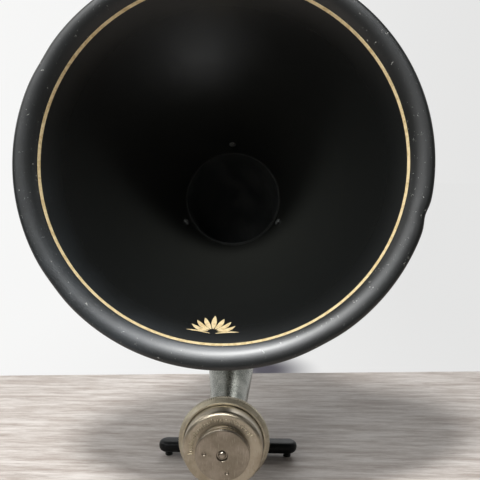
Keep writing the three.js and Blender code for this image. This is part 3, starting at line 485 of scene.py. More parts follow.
def black_casting():
    """Black stoving paint over a rough casting."""
    finish = Finish("black_casting", Specular_IOR_Level=0.2)
    grain = finish.noise(260, 5, 0.6)
    dust = finish.ramp(finish.noise(90, 7, 0.7), 0.55, 0.72)
    base = finish.tint(dust, colour(0.0055, 0.0065, 0.007), colour(0.016, 0.018, 0.019))
    finish.link("Base Color", base)
    finish.link("Roughness", finish.ramp(dust, 0, 1, 0.40, 0.56))
    finish.bump(grain, 0.00022, 0.6)
    return finish.material


# Painted shade: a near-black finish for the neck's bore and step, standing in for the dark of the deep hole,
# lifted a little off black.
def bore_shade():
    finish = Finish("bore_shade")
    soot = finish.ramp(finish.noise(40, 6), 0.35, 0.7)
    finish.link("Base Color", finish.tint(soot, colour(0.030, 0.034, 0.034), colour(0.055, 0.058, 0.055)))
    finish.link("Roughness", finish.ramp(soot, 0, 1, 0.45, 0.7))
    finish.bump(finish.noise(320, 5), 0.0003, 0.6)
    return finish.material


def plain_metal(name, light, dark, rough=(0.28, 0.45)):
    """Turned or rolled metal with a soft grain and tarnish."""
    finish = Finish(name, Metallic=1.0)
    tarnish = finish.ramp(finish.noise(140, 6, 0.6), 0.4, 0.7)
    lines = finish.noise(1400, 3, 0.5, finish.stretched((1, 1, 0.1)))
    finish.link("Base Color", finish.tint(tarnish, colour(*light), colour(*dark)))
    finish.link("Roughness", finish.ramp(lines, 0.3, 0.7, *rough))
    finish.bump(lines, 0.00003, 0.5)
    return finish.material


def ebonite():
    finish = Finish("ebonite")
    bloom = finish.ramp(finish.noise(120, 6), 0.4, 0.7)
    finish.link("Base Color", finish.tint(bloom, colour(0.012, 0.010, 0.009), colour(0.035, 0.027, 0.018)))
    finish.link("Roughness", finish.ramp(bloom, 0, 1, 0.28, 0.5))
    finish.bump(finish.noise(900, 3), 0.00004, 0.5)
    return finish.material


def felt():
    finish = Finish("felt", Sheen_Weight=0.1, Sheen_Roughness=0.6)
    fibres = finish.noise(2600, 6, 0.8)
    finish.link("Base Color", finish.tint(fibres, colour(0.008, 0.009, 0.008), colour(0.024, 0.026, 0.022)))
    finish.link("Roughness", finish.ramp(fibres, 0.3, 0.7, 0.85, 1.0))
    finish.bump(fibres, 0.0004, 0.9)
    return finish.material


def paper():
    finish = Finish("paper")
    fibres = finish.noise(800, 6, 0.7)
    finish.link("Base Color", finish.tint(fibres, colour(0.50, 0.42, 0.28), colour(0.36, 0.29, 0.18)))
    finish.link("Roughness", finish.ramp(fibres, 0.3, 0.7, 0.8, 0.95))
    finish.bump(fibres, 0.0001, 0.6)
    return finish.material


def copper_wire():
    """Enamelled wire: the turns show as fine ridges along the coil's axis."""
    finish = Finish("copper_wire", Metallic=0.9)
    ridges = finish.add("ShaderNodeTexWave", {"Vector": finish.place, "Scale": 1300}, bands_direction="Y")
    ridges = ridges.outputs["Fac"]
    finish.link("Base Color", finish.tint(ridges, colour(0.16, 0.055, 0.02), colour(0.48, 0.20, 0.08)))
    finish.link("Roughness", finish.ramp(ridges, 0, 1, 0.5, 0.3))
    finish.bump(ridges, 0.0001, 0.8)
    return finish.material


FINISHES = {
    "black_enamel": black_enamel(),
    "black_casting": black_casting(),
    "cast_aluminium": cast_aluminium(),
    "nickel_plate": nickel_plate("nickel_plate", (0.41, 0.365, 0.29), (0.31, 0.27, 0.205), 0.33),
    "brass": plain_metal("brass", (0.72, 0.52, 0.24), (0.42, 0.29, 0.13)),
    "steel": plain_metal("steel", (0.52, 0.52, 0.50), (0.32, 0.31, 0.29)),
    "magnet_steel": plain_metal("magnet_steel", (0.17, 0.18, 0.20), (0.08, 0.085, 0.10), (0.4, 0.6)),
    "ebonite": ebonite(),
    "felt": felt(),
    "paper": paper(),
    "copper_wire": copper_wire(),
}
GILT = gilt()
BORE_SHADE = bore_shade()
WORN_ENAMEL = worn_enamel()
# Painted light: a lighter, rougher copy of the nickel plate for the clamp ring and the cap's scale, so they
# read brighter than the cap.
PAINTED_LIGHT_NICKEL = nickel_plate("nickel_painted_light", (0.46, 0.42, 0.33), (0.36, 0.32, 0.24), 0.48)
# Painted shade: a darker copy of the nickel plate for the knob and its screw.
PAINTED_SHADE_NICKEL = nickel_plate("nickel_painted_shade", (0.32, 0.282, 0.232), (0.235, 0.205, 0.16), 0.30)


def finish_cad_nodes():
    """Every carried-over node gets the material of its slot."""
    for part in frame["record"]["subparts"]:
        item = frame["nodes"][part["node"]]
        item.data.materials.clear()
        item.data.materials.append(FINISHES[part["material_slot"]])


# ---------------------------------------------------------------- bell


def wall_radius(along):
    part = along / WALL_END
    growth = WALL_STRAIGHTNESS * part + (1 - WALL_STRAIGHTNESS) * part ** 2
    return THROAT_RADIUS + (WALL_END_RADIUS - THROAT_RADIUS) * growth


def wall_slope(along):
    return math.atan(wall_radius(along + 0.5) - wall_radius(along - 0.5))


def bell_front():
    """The face that shows: the wall, its last turn outwards, and the small roll at the edge."""
    wall = [(wall_radius(along), along) for along in [0, 0.7, 1.4, 2.6] + spread(5, WALL_END, 45)]
    crest = RIM_RADIUS - CURL_RADIUS
    start = 180 - math.degrees(wall_slope(WALL_END))
    flare = arc((crest, BELL_DEPTH + CURL_RADIUS - FLARE_RADIUS), FLARE_RADIUS, start, 90, 22)
    curl = arc((crest, BELL_DEPTH), CURL_RADIUS, 90, -150, 18)
    return wall + flare[1:] + curl[1:]


DENTS = [  # (degrees round from the bottom towards +X, width in degrees, depth)
    (73.5, 2.8, 2.0),
    (-118, 4.5, 0.7),
    (28, 6, 0.6),
    (-52, 5, 0.5),
]


def bell_warp(radius, along, turn):
    """Dents in the rim, where it has been knocked inwards."""
    on_rim = min(1, max(0, (radius - WALL_END_RADIUS) / (RIM_RADIUS - WALL_END_RADIUS)))
    for angle, width, depth in DENTS:
        away = (math.degrees(turn) - angle + 180) % 360 - 180
        fall = math.exp(-(away / width) ** 2)
        radius -= depth * fall * on_rim
        along -= 0.4 * depth * fall * on_rim
    return radius, along


RIM_WEAR_AND_SHEEN_RADII = (150, 171)     # where the rim's wear and painted sheen begin, and where they are full
LEAST_WEAR_AND_SHEEN = 0.06               # on the wall inside
PAINTED_LIFT_DEPTH = 205                # along the bell's axis, where the painted lift of light inside ends
THROAT_WEAR_AND_GLINT_TURN = math.radians(35)     # where the throat edge's wear and painted glint are strongest, round from the bottom towards +X
THROAT_WEAR_AND_GLINT_LENGTH = 1.2


def make_bell():
    """The bell's shell. Its rim and depth attributes say where black_enamel puts wear and painted sheen, and
    where it lifts the black with painted light deep inside.
    """
    front = bell_front()
    outline = front + offset(front, BELL_SHEET)[::-1]
    mesh = turned(outline, BELL_SIDES, BELL_PLACE, warp=bell_warp)
    item = as_object("bell_shell", mesh, FINISHES["black_enamel"])
    rim = item.data.attributes.new("rim", "FLOAT", "POINT")
    depth = item.data.attributes.new("depth", "FLOAT", "POINT")
    to_own = BELL_PLACE.inverted()
    clean, full = RIM_WEAR_AND_SHEEN_RADII
    for vertex in item.data.vertices:
        own = to_own @ vertex.co
        rim_wear_and_sheen = (math.hypot(own.x, own.z) - clean) / (full - clean)
        facing = max(0, math.cos(math.atan2(own.x, own.z) - THROAT_WEAR_AND_GLINT_TURN))
        # Worn throat edge, kept to the lower right, where it also stands in as a painted glint.
        throat_wear_and_glint = max(0, 1 - abs(own.y) / THROAT_WEAR_AND_GLINT_LENGTH) * facing ** 3
        rim.data[vertex.index].value = min(1, max(LEAST_WEAR_AND_SHEEN, rim_wear_and_sheen, throat_wear_and_glint))
        depth.data[vertex.index].value = min(1, max(0, 1 - own.y / PAINTED_LIFT_DEPTH))
    return settled(item, replaces=["bell"])


def make_gold_line():
    """A painted line where the wall turns outwards to the rim."""
    front = bell_front()
    distances = [0]
    for here, there in zip(front, front[1:]):
        distances.append(distances[-1] + math.dist(here, there))
    corner = min(range(len(front)), key=lambda i: math.dist(front[i], (WALL_END_RADIUS, WALL_END)))

    def at(distance):
        i = max(k for k in range(len(front) - 1) if distances[k] <= distance)
        part = (distance - distances[i]) / (distances[i + 1] - distances[i])
        return tuple(Vector(front[i]).lerp(Vector(front[i + 1]), part))

    half = GOLD_LINE_WIDTH / 2
    band = [at(distances[corner] + step) for step in spread(-half, half, 8)]
    outline = offset(band, -GILT_LIFT) + offset(band, BELL_SHEET / 3)[::-1]
    item = as_object("gold_line", turned(outline, BELL_SIDES, BELL_PLACE, warp=bell_warp), GILT)
    settled(item)


def on_wall(turn, along, lift):
    """A point over the inside of the wall, in the frame. turn is in radians from the bottom."""
    slope = wall_slope(along)
    radius = wall_radius(along) - lift * math.cos(slope)
    height = along + lift * math.sin(slope)
    return BELL_PLACE @ Vector((radius * math.sin(turn), height, radius * math.cos(turn)))


ORNAMENT_ALONG = 208
ORNAMENT_TURN = math.radians(-3)
ORNAMENT_ROOT = Vector((0, -11))
LEAF_LEANS = (-66, -44, -22, 0, 22, 44, 66)
LEAF_START = 4.5                # from the fan's root
LEAF_REACH = 25
MIDDLE_LEAF_REACH = 27
LEAF_WIDTH = 4.6
LEAF_BOW = -2.2
LEAF_UNDERSIDE = -0.3           # inside the bell's sheet
LEAF_POINT = 0.08               # half the width at a leaf's tip


def leaf(mesh, start, end, bow, width):
    """One gilt leaf on the wall, bowed sideways. start and end are millimetres across and up the wall."""
    side = (end - start).orthogonal().normalized()
    rings = []
    for part in spread(0, 1, 18):
        point = start.lerp(end, part) + side * bow * math.sin(math.pi * part)
        half = width * math.sin(math.pi * min(1, part * 1.02)) ** 0.7 / 2 + LEAF_POINT
        section = [
            (-half, LEAF_UNDERSIDE), (-half, GILT_LIFT), (0, 1.6 * GILT_LIFT), (half, GILT_LIFT),
            (half, LEAF_UNDERSIDE),
        ]
        ring = []
        for across, lift in section:
            spot = point + side * across
            along = ORNAMENT_ALONG - spot.y * math.cos(wall_slope(ORNAMENT_ALONG))
            ring.append(on_wall(ORNAMENT_TURN + spot.x / wall_radius(along), along, lift))
        rings.append(ring)
    append(mesh, swept(rings))


def make_ornament():
    """A fan of gilt leaves over a short bar, low on the inside of the bell."""
    mesh = bmesh.new()
    for degrees in LEAF_LEANS:
        lean = math.radians(degrees)
        towards = Vector((math.sin(lean), math.cos(lean)))
        reach = LEAF_REACH - 3.2 * abs(towards.x) if degrees else MIDDLE_LEAF_REACH
        near, tip = (ORNAMENT_ROOT + distance * towards for distance in (LEAF_START, reach))
        leaf(mesh, near, tip, LEAF_BOW * towards.x, LEAF_WIDTH)
    for side in (-1, 1):
        leaf(mesh, Vector((side * 2.5, -13.2)), Vector((side * 24, -12.2)), side * 1.6, 1.9)
    settled(as_object("bell_ornament", mesh, GILT))


def bell_screw_place(number):
    """Own +Y points inwards, square to the wall; number 0 is the top screw."""
    turn = math.pi + 2 * math.pi * number / 3
    slope = wall_slope(BELL_SCREW_ALONG)
    radial = X * math.sin(turn) + BELL_DOWN * math.cos(turn)
    inward = BELL_AXIS * math.sin(slope) - radial * math.cos(slope)
    sideways = X * math.cos(turn) - BELL_DOWN * math.sin(turn)
    spot = THROAT + (BELL_AXIS * BELL_SCREW_ALONG + radial * wall_radius(BELL_SCREW_ALONG)) * MM
    return axes(spot, sideways, inward, sideways.cross(inward))


def block(low, high, place):
    """A box-shaped cutter between two corners."""
    mesh = bmesh.new()
    bmesh.ops.create_cube(mesh, size=1)
    size = [h - l for l, h in zip(low, high)]
    centre = [(h + l) / 2 for l, h in zip(low, high)]
    for vertex in mesh.verts:
        vertex.co = place @ Vector([c + v * s for c, v, s in zip(centre, vertex.co, size)])
    return as_object("cutter", mesh, None)


def make_bell_screws():
    """Slotted round heads, each slot at its own angle."""
    outline = filleted(BELL_SCREW_OUTLINE, 4, closed=False)
    for number, side in enumerate(("top", "right", "left")):
        place = bell_screw_place(number)
        screw = as_object("screw_" + side, turned(outline, 40, place, closed=False), WORN_ENAMEL)
        slot_turn = Matrix.Rotation(0.7 + number, 4, "Y")
        combine(screw, [block(*SCREW_SLOT, place @ slot_turn)], "DIFFERENCE")
        settled(screw, replaces=["bell_screw_" + side])


# ---------------------------------------------------------------- neck


NECK_BENDS = [
    (LEAD_LENGTH, 0),
    (WIDE_ARC_RADIUS * WIDE_ARC_TURN, WIDE_ARC_TURN),
    (TIGHT_ARC_RADIUS * (math.pi - BELL_TILT - WIDE_ARC_TURN), math.pi - BELL_TILT - WIDE_ARC_TURN),
    (THROAT_SEAT, 0),
]
NECK_LENGTH = sum(length for length, _ in NECK_BENDS)


def neck_route(distance):
    """(y, z, heading) at a distance along the neck's centre line, straight beyond both ends."""
    y, z, heading, left = 0.0, 0.0, 0.0, distance
    for length, turn in NECK_BENDS + [(math.inf, 0)]:
        used = min(left, length)
        if turn:
            radius = length / turn
            ahead = heading + used / radius
            y += radius * (math.sin(ahead) - math.sin(heading))
            z += radius * (math.cos(heading) - math.cos(ahead))
            heading = ahead
        else:
            y += used * math.cos(heading)
            z += used * math.sin(heading)
        left -= used
        if left <= 0:
            break
    return y, z, heading


def neck_ring(radius, distance):
    """Points round the neck's centre line, in the frame."""
    y, z, heading = neck_route(distance)
    ring = []
    for side in range(NECK_SIDES):
        turn = 2 * math.pi * side / NECK_SIDES
        rise = radius * math.cos(turn)
        own = Vector((radius * math.sin(turn), y - rise * math.sin(heading), z + rise * math.cos(heading)))
        ring.append(NECK_ORIGIN + own * MM)
    return ring


def opened(radii, distance):
    part = max(0, (distance - PLUG_LENGTH) / (NECK_LENGTH - PLUG_LENGTH)) ** NECK_FLARE
    return radii[0] + (radii[1] - radii[0]) * part


def seat_radius(along):
    return wall_radius(along) + BELL_SHEET / math.cos(wall_slope(along)) + COLLAR_GAP


def neck_outside():
    """(radius, distance along the neck), from the end inside the hub to the collar's lip."""
    lip = seat_radius(COLLAR_LENGTH) + COLLAR_WALL
    collar = filleted([
        (NECK_RADII[1], 0, 0), (lip - 1.4, COLLAR_LENGTH - 7, 4), (lip + 1.4, COLLAR_LENGTH - 5, 1.5),
        (lip + 1.5, COLLAR_LENGTH, 2), (seat_radius(COLLAR_LENGTH), COLLAR_LENGTH, 0),
    ], 5, closed=False)
    start = [(NECK_RADII[0] - 0.8, 0), (NECK_RADII[0], 0.8)]
    tube = [(opened(NECK_RADII, distance), distance) for distance in spread(PLUG_LENGTH, NECK_LENGTH, 96)]
    return start + tube + [(radius, NECK_LENGTH + along) for radius, along in collar[1:]]


def neck_bore():
    """The same for the inside: the sound passage, and the seat that holds the bell."""
    tube = [(opened(BORE_RADII, distance), distance) for distance in spread(PLUG_LENGTH, NECK_LENGTH - 4, 60)]
    step = NECK_LENGTH - THROAT_STEP
    seat = [(seat_radius(along), NECK_LENGTH + along) for along in spread(0, COLLAR_LENGTH - 1, 6)]
    return [(BORE_RADII[0], 0)] + tube + [(BORE_RADII[1], step), (seat_radius(0), step)] + seat


def make_neck():
    outer = neck_outside()
    rings = [neck_ring(radius, distance) for radius, distance in outer + neck_bore()[::-1]]
    mesh = swept(rings + [rings[0]], closed_ends=False, lining_from=len(outer))
    neck = as_object("neck_shell", mesh, FINISHES["cast_aluminium"], BORE_SHADE)
    tools = [make_neck_lug()] + [make_screw_boss(number) for number in range(3)]
    combine(neck, tools, "UNION")
    settled(neck, replaces=["neck_casting"])


def rounded_plan(half_width, half_length, corner, count=6):
    """A rectangle with round corners, anticlockwise, as (x, y)."""
    points = []
    for number, (side_x, side_y) in enumerate(((1, -1), (1, 1), (-1, 1), (-1, -1))):
        centre = (side_x * (half_width - corner), side_y * (half_length - corner))
        points += arc(centre, corner, -90 + 90 * number, 90 * number, count)
    return points


def level_ring(plan, height):
    """A plan round the saddle, in millimetres, as points of the frame at one height over the table."""
    return [Vector((x * MM, SADDLE.y + y * MM, height * MM)) for x, y in plan]


def make_neck_lug():
    """The lug that stands on the foot's boss, flaring into the neck above it."""
    rings = []
    for height, grow in LUG_LAYERS:
        plan = rounded_plan(LUG_HALF_WIDTH + 0.35 * grow, LUG_HALF_LENGTH + grow, LUG_CORNER)
        rings.append(level_ring(plan, SADDLE_TOP + height))
    return as_object("lug", swept(rings), FINISHES["cast_aluminium"])


def make_screw_boss(number):
    boss = filleted(SCREW_BOSS_OUTLINE, 4, closed=False)
    mesh = turned(boss, 32, bell_screw_place(number), closed=False)
    return as_object("boss", mesh, FINISHES["cast_aluminium"])


# ---------------------------------------------------------------- foot


def foot_plan(shrink):
    """Plan of the foot round the saddle, in millimetres: a round-ended cross bar and a leg to the back."""
    bar = (TOES["left"].y - SADDLE.y) / MM
    leg_end = (TOES["rear"].y - SADDLE.y) / MM
    half_depth, half_leg = BAR_HALF_DEPTH - shrink, LEG_HALF_WIDTH - shrink
    end = BAR_WIDTH / 2 - BAR_HALF_DEPTH
    fillet = FOOT_FILLET + shrink
    corner_x, corner_y = LEG_HALF_WIDTH + FOOT_FILLET, bar + BAR_HALF_DEPTH + FOOT_FILLET
    points = arc((end, bar), half_depth, -90, 90, 16)
    points += arc((corner_x, corner_y), fillet, -90, -180, 10)
    points += arc((0, leg_end), half_leg, 0, 180, 18)
    points += arc((-corner_x, corner_y), fillet, 0, -90, 10)
    points += arc((-end, bar), half_depth, 90, 270, 16)
    return points


def foot_turned(name, outline, sides, spot):
    """A piece of the casting turned about the vertical line through a spot."""
    return as_object(name, turned(outline, sides, upright(spot), closed=False), FINISHES["black_casting"])


def make_foot():
    """A casting with a low crown and well rounded edges, on three short toes."""
    rings = [level_ring(foot_plan(shrink), FOOT_BOTTOM + height) for shrink, height in FOOT_LAYERS]
    foot = as_object("foot_frame", swept(rings), FINISHES["black_casting"])
    bottom, shoulder, top = BOSS_RADII
    boss = filleted([
        (0, BOSS_BOTTOM, 0), (bottom, BOSS_BOTTOM, 0), (shoulder, SADDLE_TOP - 3.5, 2),
        (top, SADDLE_TOP, 1.6), (0, SADDLE_TOP, 0),
    ], 5, closed=False)
    underside = FELT_THICKNESS + TOUCH_GAP
    toe = filleted([
        (0, underside, 0), (TOE_RADIUS - 0.3, underside, 0.5), (TOE_RADIUS, FOOT_BOTTOM, 0),
        (TOE_RADIUS + 0.6, TOE_TOP, 0), (0, TOE_TOP, 0),
    ], 4, closed=False)
    tools = [foot_turned("boss", boss, 72, SADDLE)]
    tools += [foot_turned("toe", toe, 40, spot) for spot in TOES.values()]
    combine(foot, tools, "UNION")
    recess = [
        (0, 0), (BOLT_HEAD_RADIUS, 0), (BOLT_HEAD_RADIUS, BOLT_HEAD_TOP), (BOLT_HOLE_RADIUS, BOLT_HEAD_TOP),
        (BOLT_HOLE_RADIUS, SADDLE_TOP + 1), (0, SADDLE_TOP + 1),
    ]
    combine(foot, [foot_turned("cutter", recess, 48, SADDLE)], "DIFFERENCE")
    settled(foot, replaces=["foot_casting"])


# ---------------------------------------------------------------- driver


def make_front_cap():
    """A cup with a rounded shoulder, a flange at the back, and a hole for the cord's bush."""
    inside = CAP_RADIUS - CAP_SHEET
    face_back = CAP_FACE + CAP_SHEET
    flange_back = FLANGE_FRONT + 2
    outline = filleted([
        (CAP_BORE, CAP_FACE, 0.3), (CAP_RADIUS, CAP_FACE, 4.4), (CAP_RADIUS, FLANGE_FRONT, 0.5),
        (FLANGE_RADIUS, FLANGE_FRONT, 0.3), (FLANGE_RADIUS, flange_back, 0.3), (inside, flange_back, 0.3),
        (inside, face_back, 1.4), (CAP_BORE, face_back, 0.3),
    ], 8)
    cap = as_object("cap_shell", turned(outline, 160, DRIVER_PLACE), FINISHES["nickel_plate"])
    bush = middle("cord_inlet_bush")
    out = ((bush - DRIVER) * Vector((1, 0, 1))).normalized()
    place = axes(Vector((DRIVER.x, bush.y, DRIVER.z)), out.cross(Y), out, -Y)
    drill(cap, CORD_HOLE_RADIUS, CAP_RADIUS, place)
    return settled(cap, replaces=["front_cap"])


TICK_FIRST, TICK_LAST = 186, 30     # degrees anticlockwise from the right, seen from the front
TICK_SPACES = 32
TICK_INNER = 28.4
TICK_LENGTHS = (5.0, 3.3, 3.3, 3.3)
TICK_HALF_WIDTH = 0.66
TICK_CORNER = 0.34
TICK_LAYERS = [(-0.1, 0), (0.55, 0), (0.8, 0.12), (0.92, 0.32)]     # (height over the face, drawn in)


def make_ticks():
    """A raised scale on the cap's face, round the knob: short ticks, with a long one at every fourth."""
    mesh = bmesh.new()
    for number, degrees in enumerate(spread(TICK_FIRST, TICK_LAST, TICK_SPACES)):
        turn = math.radians(degrees)
        out = X * math.cos(turn) + Z * math.sin(turn)
        place = axes(DRIVER, out, -Y, out.cross(-Y))
        half = TICK_LENGTHS[number % len(TICK_LENGTHS)] / 2
        rings = []
        for height, shrink in TICK_LAYERS:
            plan = rounded_plan(half - shrink, TICK_HALF_WIDTH - shrink, TICK_CORNER - shrink, 3)
            rings.append([place @ Vector((TICK_INNER + half + x, height - CAP_FACE, y)) for x, y in plan])
        append(mesh, swept(rings))
    return settled(as_object("cap_scale", mesh, PAINTED_LIGHT_NICKEL))


RING_RIBS = 132
RIB_DEPTH = 0.45


def rib_warp(radius, along, turn):
    """Hollows between the ribs round the ring's side."""
    if radius < RING_FACE_RADIUS + 0.9 or along > RING_BACK - 1.2:
        return radius, along
    wave = 0.5 - 0.5 * math.cos(turn * RING_RIBS)
    return radius - RIB_DEPTH * wave ** 2, along


def make_clamp_ring():
    """A ribbed ring, bevelled in front, that draws the cap's flange against the housing."""
    rise = RING_RADIUS - RING_FACE_RADIUS
    over_cap, over_housing = CAP_RADIUS + 0.5, HOUSING_RADIUS + 0.5
    step = FLANGE_FRONT - TOUCH_GAP
    outline = filleted([
        (over_cap, RING_FRONT, 0.3), (RING_FACE_RADIUS, RING_FRONT, 0.35),
        (RING_FACE_RADIUS + 0.7, RING_FRONT + 0.9, 0.2), (RING_RADIUS, RING_FRONT + rise + 0.6, 1.2),
        (RING_RADIUS, RING_BACK - 1.5, 0), (RING_RADIUS, RING_BACK - 1.1, 0), (RING_RADIUS, RING_BACK, 0.6),
        (over_housing, RING_BACK, 0.2), (over_housing, step, 0), (over_cap, step, 0),
    ], 5)
    mesh = turned(outline, RING_RIBS * 6, DRIVER_PLACE, warp=rib_warp)
    item = as_object("clamp_ring_ribbed", mesh, PAINTED_LIGHT_NICKEL)
    return settled(item, replaces=["clamp_ring"])


def make_rear_housing():
    """A domed back with a hub for the neck, and a hole in the hub's top for the set screw."""
    neck = NECK_RADII[0] + 0.4
    neck_stop = 33
    outline = filleted([
        (HOUSING_BORE, HOUSING_FRONT, 0), (HOUSING_RADIUS, HOUSING_FRONT, 0.3), (HOUSING_RADIUS, 23, 2),
        (39.5, 26, 3), (35.5, 28.7, 4), (25, 31, 8), (HUB_RADIUS, 35.5, 5), (HUB_RADIUS, HUB_END, 1.2),
        (neck, HUB_END, 0.6), (neck, neck_stop, 0), (BORE_RADII[0], neck_stop, 0), (9, 25, 1), (11, 22.5, 1),
        (HOUSING_BORE, HOUSING_FRONT + 2, 0.3),
    ], 6)
    item = as_object("housing_shell", turned(outline, 128, DRIVER_PLACE), FINISHES["nickel_plate"])
    place = axes(DRIVER + Y * (HUB_END - 5) * MM, X, Z, -Y)
    drill(item, SET_SCREW_HOLE_RADIUS, HUB_RADIUS, place)
    return settled(item, replaces=["rear_housing"])


DIMPLE_CIRCLE = 17
DIMPLE_ANGLES = (174, 285)


def knob_outline():
    """A shallow cup, open at the back, with a groove round its side and a hub on the spindle."""
    face_back = KNOB_FACE + KNOB_WALL
    hub_back = CAP_FACE - 2.2
    seat = KNOB_FACE + 2.2
    skirt = KNOB_RADIUS - KNOB_WALL
    groove = KNOB_RADIUS - KNOB_GROOVE_DEPTH
    return filleted([
        (KNOB_BORE, seat, 0.2), (5.0, seat, 0.5), (5.4, KNOB_FACE, 0.55), (KNOB_RADIUS, KNOB_FACE, 1.8),
        (KNOB_RADIUS, KNOB_GROOVE - 0.9, 0.3), (groove, KNOB_GROOVE - 0.4, 0.2),
        (groove, KNOB_GROOVE + 0.4, 0.2), (KNOB_RADIUS, KNOB_GROOVE + 0.9, 0.3),
        (KNOB_RADIUS, KNOB_BACK, 0.4), (skirt, KNOB_BACK, 0.3), (skirt, face_back, 1),
        (KNOB_HUB_RADIUS, face_back, 1), (KNOB_HUB_RADIUS, hub_back, 0.3), (KNOB_BORE, hub_back, 0.2),
    ], 6)


def make_knob():
    knob = as_object("knob_disc", turned(knob_outline(), 144, DRIVER_PLACE), PAINTED_SHADE_NICKEL)
    pit = filleted([
        (0, KNOB_FACE - 1, 0), (2.8, KNOB_FACE - 1, 0), (2.2, KNOB_FACE, 0.5), (1.6, KNOB_FACE + 0.9, 0.6),
        (0, KNOB_FACE + 1.3, 0),
    ], 4, closed=False)
    cutters = []
    for degrees in DIMPLE_ANGLES:
        turn = math.radians(degrees)
        spot = DRIVER + (X * math.cos(turn) + Z * math.sin(turn)) * DIMPLE_CIRCLE * MM
        cutters.append(as_object("cutter", turned(pit, 28, axes(spot, X, Y, Z), closed=False), None))
    combine(knob, cutters, "DIFFERENCE")
    settled(knob, "knob", ["adjusting_knob"])


def make_knob_screw():
    """A domed head, sunk in the knob's face, on a plain shank."""
    seat = KNOB_FACE + 1.9
    outline = filleted([
        (0, CAP_FACE - 1.6, 0), (1.4, CAP_FACE - 1.6, 0.3), (1.4, seat, 0), (3.7, seat, 0.2),
        (3.6, seat - 1.2, 0.6), (2.4, seat - 2.4, 1.4), (0, seat - 2.9, 0),
    ], 6, closed=False)
    item = as_object("knob_screw_dome", turned(outline, 48, DRIVER_PLACE, closed=False), PAINTED_SHADE_NICKEL)
    settled(item, "knob", ["knob_screw"])


# ---------------------------------------------------------------- stage, light and camera

CAMERA_PLACE = Vector((0.0346, -0.7504, 0.3231))
CAMERA_PITCH = math.radians(-7.05)
CAMERA_YAW = math.radians(1.76)
LENS = 49.5
FLOOR_HALF = 8
TABLE_EDGE = 0.2152             # the table's tone ends here and the pale wall's begins
TABLE_EDGE_LEAN = 0.058         # how far that edge moves back for each metre to the right
TABLE_EDGE_BLUR = 0.001
SHADOW_PLACE = (0.045, 0.235)   # middle of the bell's soft shadow at the foot of the wall
SHADOW_SIZE = (11, 9)           # one over the shadow's reach, sideways and back


def make_camera():
    data = bpy.data.cameras.new("camera")
    data.lens = LENS
    data.sensor_width = 36
    camera = bpy.data.objects.new("camera", data)
    camera.location = CAMERA_PLACE
    camera.rotation_euler = (math.pi / 2 + CAMERA_PITCH, 0, CAMERA_YAW)
    SCENE.collection.objects.link(camera)
    SCENE.camera = camera


def make_floor():
    """The wooden table. Behind its edge the plane glows like the wall, with the bell's shadow on it."""
    mesh = bmesh.new()
    corners = ((-1, -1), (1, -1), (1, 1), (-1, 1))
    mesh.faces.new([mesh.verts.new((x * FLOOR_HALF, y * FLOOR_HALF, 0)) for x, y in corners])
    finish = Finish("floor", Roughness=0.6)
    parts = finish.add("ShaderNodeSeparateXYZ", {"Vector": finish.place})
    across = finish.plus(parts.outputs["Y"], finish.times(parts.outputs["X"], -TABLE_EDGE_LEAN))
    beyond = finish.ramp(across, TABLE_EDGE - TABLE_EDGE_BLUR, TABLE_EDGE + TABLE_EDGE_BLUR)
    grain = finish.noise(22, 9, 0.8, finish.stretched((0.4, 3.4, 1)))
    cracks = finish.ramp(finish.noise(36, 7, 0.78, finish.stretched((0.35, 3.6, 1))), 0.55, 0.68)
    table = finish.tint(finish.ramp(grain, 0.36, 0.64), colour(0.36, 0.305, 0.27), colour(0.64, 0.60, 0.57))
    finish.link("Base Color", finish.tint(finish.times(cracks, 0.5), table, colour(0.22, 0.175, 0.155)))
    shift = [-place * scale for place, scale in zip(SHADOW_PLACE, SHADOW_SIZE)]
    spot = finish.add("ShaderNodeMapping", {
        "Vector": finish.place, "Location": (*shift, 0), "Scale": (*SHADOW_SIZE, 0),
    })
    away = finish.add("ShaderNodeVectorMath", {0: spot.outputs["Vector"]}, operation="LENGTH")
    shadow = finish.ramp(away.outputs["Value"], 1.0, 0.1)
    wall = finish.tint(shadow, wall_colour(finish, parts.outputs["X"], 0.45), colour(0.105, 0.10, 0.12))
    glow = finish.add("ShaderNodeEmission", {"Color": wall, "Strength": 1.0})
    both = finish.add("ShaderNodeMixShader", {0: beyond, 1: finish.shader.outputs[0], 2: glow.outputs[0]})
    finish.tree.links.new(both.outputs[0], finish.tree.nodes["Material Output"].inputs["Surface"])
    as_object("floor", mesh, finish.material)


def wall_colour(finish, sideways, reach):
    """Pale wall, a little darker to the right."""
    light, dark = colour(0.93, 0.93, 0.925), colour(0.78, 0.78, 0.775)
    return finish.tint(finish.ramp(sideways, -reach, reach), light, dark)


class WorldTree(Finish):
    """The world's nodes, with directions as coordinates."""

    def __init__(self, world):
        world.use_nodes = True
        self.tree = world.node_tree
        self.place = self.add("ShaderNodeTexCoord").outputs["Generated"]


def make_world():
    """A pale wall for the camera; a dim room in front and the lit wall behind for reflections."""
    world = bpy.data.worlds.new("world")
    SCENE.world = world
    sky = WorldTree(world)
    parts = sky.add("ShaderNodeSeparateXYZ", {"Vector": sky.place})
    front, behind = colour(0.050, 0.048, 0.045), colour(0.72, 0.72, 0.72)
    room = sky.tint(sky.ramp(parts.outputs["Y"], 0.05, 0.75), front, behind)
    seen = wall_colour(sky, parts.outputs["X"], 0.4)
    camera_ray = sky.add("ShaderNodeLightPath").outputs["Is Camera Ray"]
    sky.tree.links.new(sky.tint(camera_ray, room, seen), sky.tree.nodes["Background"].inputs["Color"])


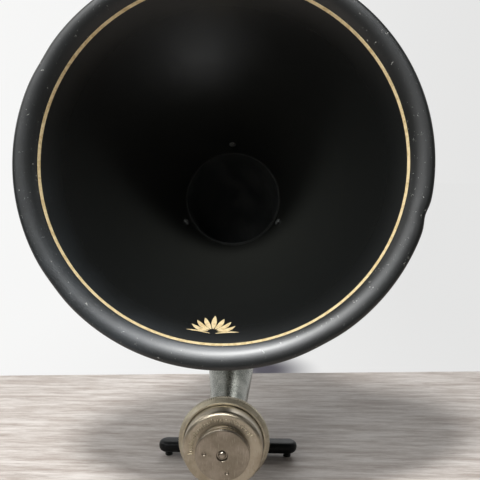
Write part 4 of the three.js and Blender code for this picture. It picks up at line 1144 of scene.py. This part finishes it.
def make_light(name, place, target, size, radiance, tint=(1, 1, 1), gloss_only=False, only_for=()):
    """A rectangular light, of the given radiance over its face. only_for lists the pieces that it lights."""
    data = bpy.data.lights.new(name, "AREA")
    data.shape = "RECTANGLE"
    data.size, data.size_y = size
    data.energy = radiance * math.pi * size[0] * size[1]
    data.color = tint
    light = bpy.data.objects.new(name, data)
    light.location = place
    light.rotation_euler = (Vector(target) - Vector(place)).to_track_quat("-Z", "Y").to_euler()
    light.visible_camera = False
    light.visible_diffuse = not gloss_only
    SCENE.collection.objects.link(light)
    if only_for:
        lit = bpy.data.collections.new(name + "_receivers")
        for item in only_for:
            lit.objects.link(item)
        light.light_linking.receiver_collection = lit


def make_lights(bell, driver):
    """A lamp high in front, soft fills, and the bright places that the bell and the driver mirror."""
    make_light("lamp", (-0.225, -0.80, 1.68), (0, -0.1, 0.1), (0.25, 0.25), 150, (1.0, 0.995, 0.98))
    make_light("front_fill", (-0.75, -1.25, 1.45), (0, -0.1, 0.1), (1.2, 1.0), 3.2, (0.99, 0.995, 1.0))
    make_light("left_fill", (-1.5, 0.2, 1.2), (0, 0, 0.1), (1.0, 1.0), 2.6, (1.0, 0.99, 0.96))
    make_light("ceiling_gloss", (-0.08, -0.75, 1.85), (-0.08, -0.75, 0), (0.6, 2.6), 12.5, (0.94, 0.97, 1),
               gloss_only=True, only_for=[bell])
    make_light("driver_gloss", (-0.20, -1.20, 0.80), (0, -0.15, 0.08), (0.7, 0.4), 11, (1, 0.99, 0.94),
               gloss_only=True, only_for=driver)
    make_light("right_fill", (1.5, -0.4, 1.1), (0, 0, 0.25), (0.5, 0.9), 0.8, (1.0, 0.98, 0.95))
    make_light("back_fill", (0.3, 1.6, 1.3), (0, 0, 0.25), (1.2, 0.8), 2.2)


# ---------------------------------------------------------------- making

make_camera()
make_world()
make_floor()
finish_cad_nodes()
bell = make_bell()
make_gold_line()
make_ornament()
make_bell_screws()
make_neck()
make_foot()
make_knob()
make_knob_screw()
make_lights(bell, [make_front_cap(), make_ticks(), make_clamp_ring(), make_rear_housing()])

SCENE.view_settings.view_transform = "Standard"
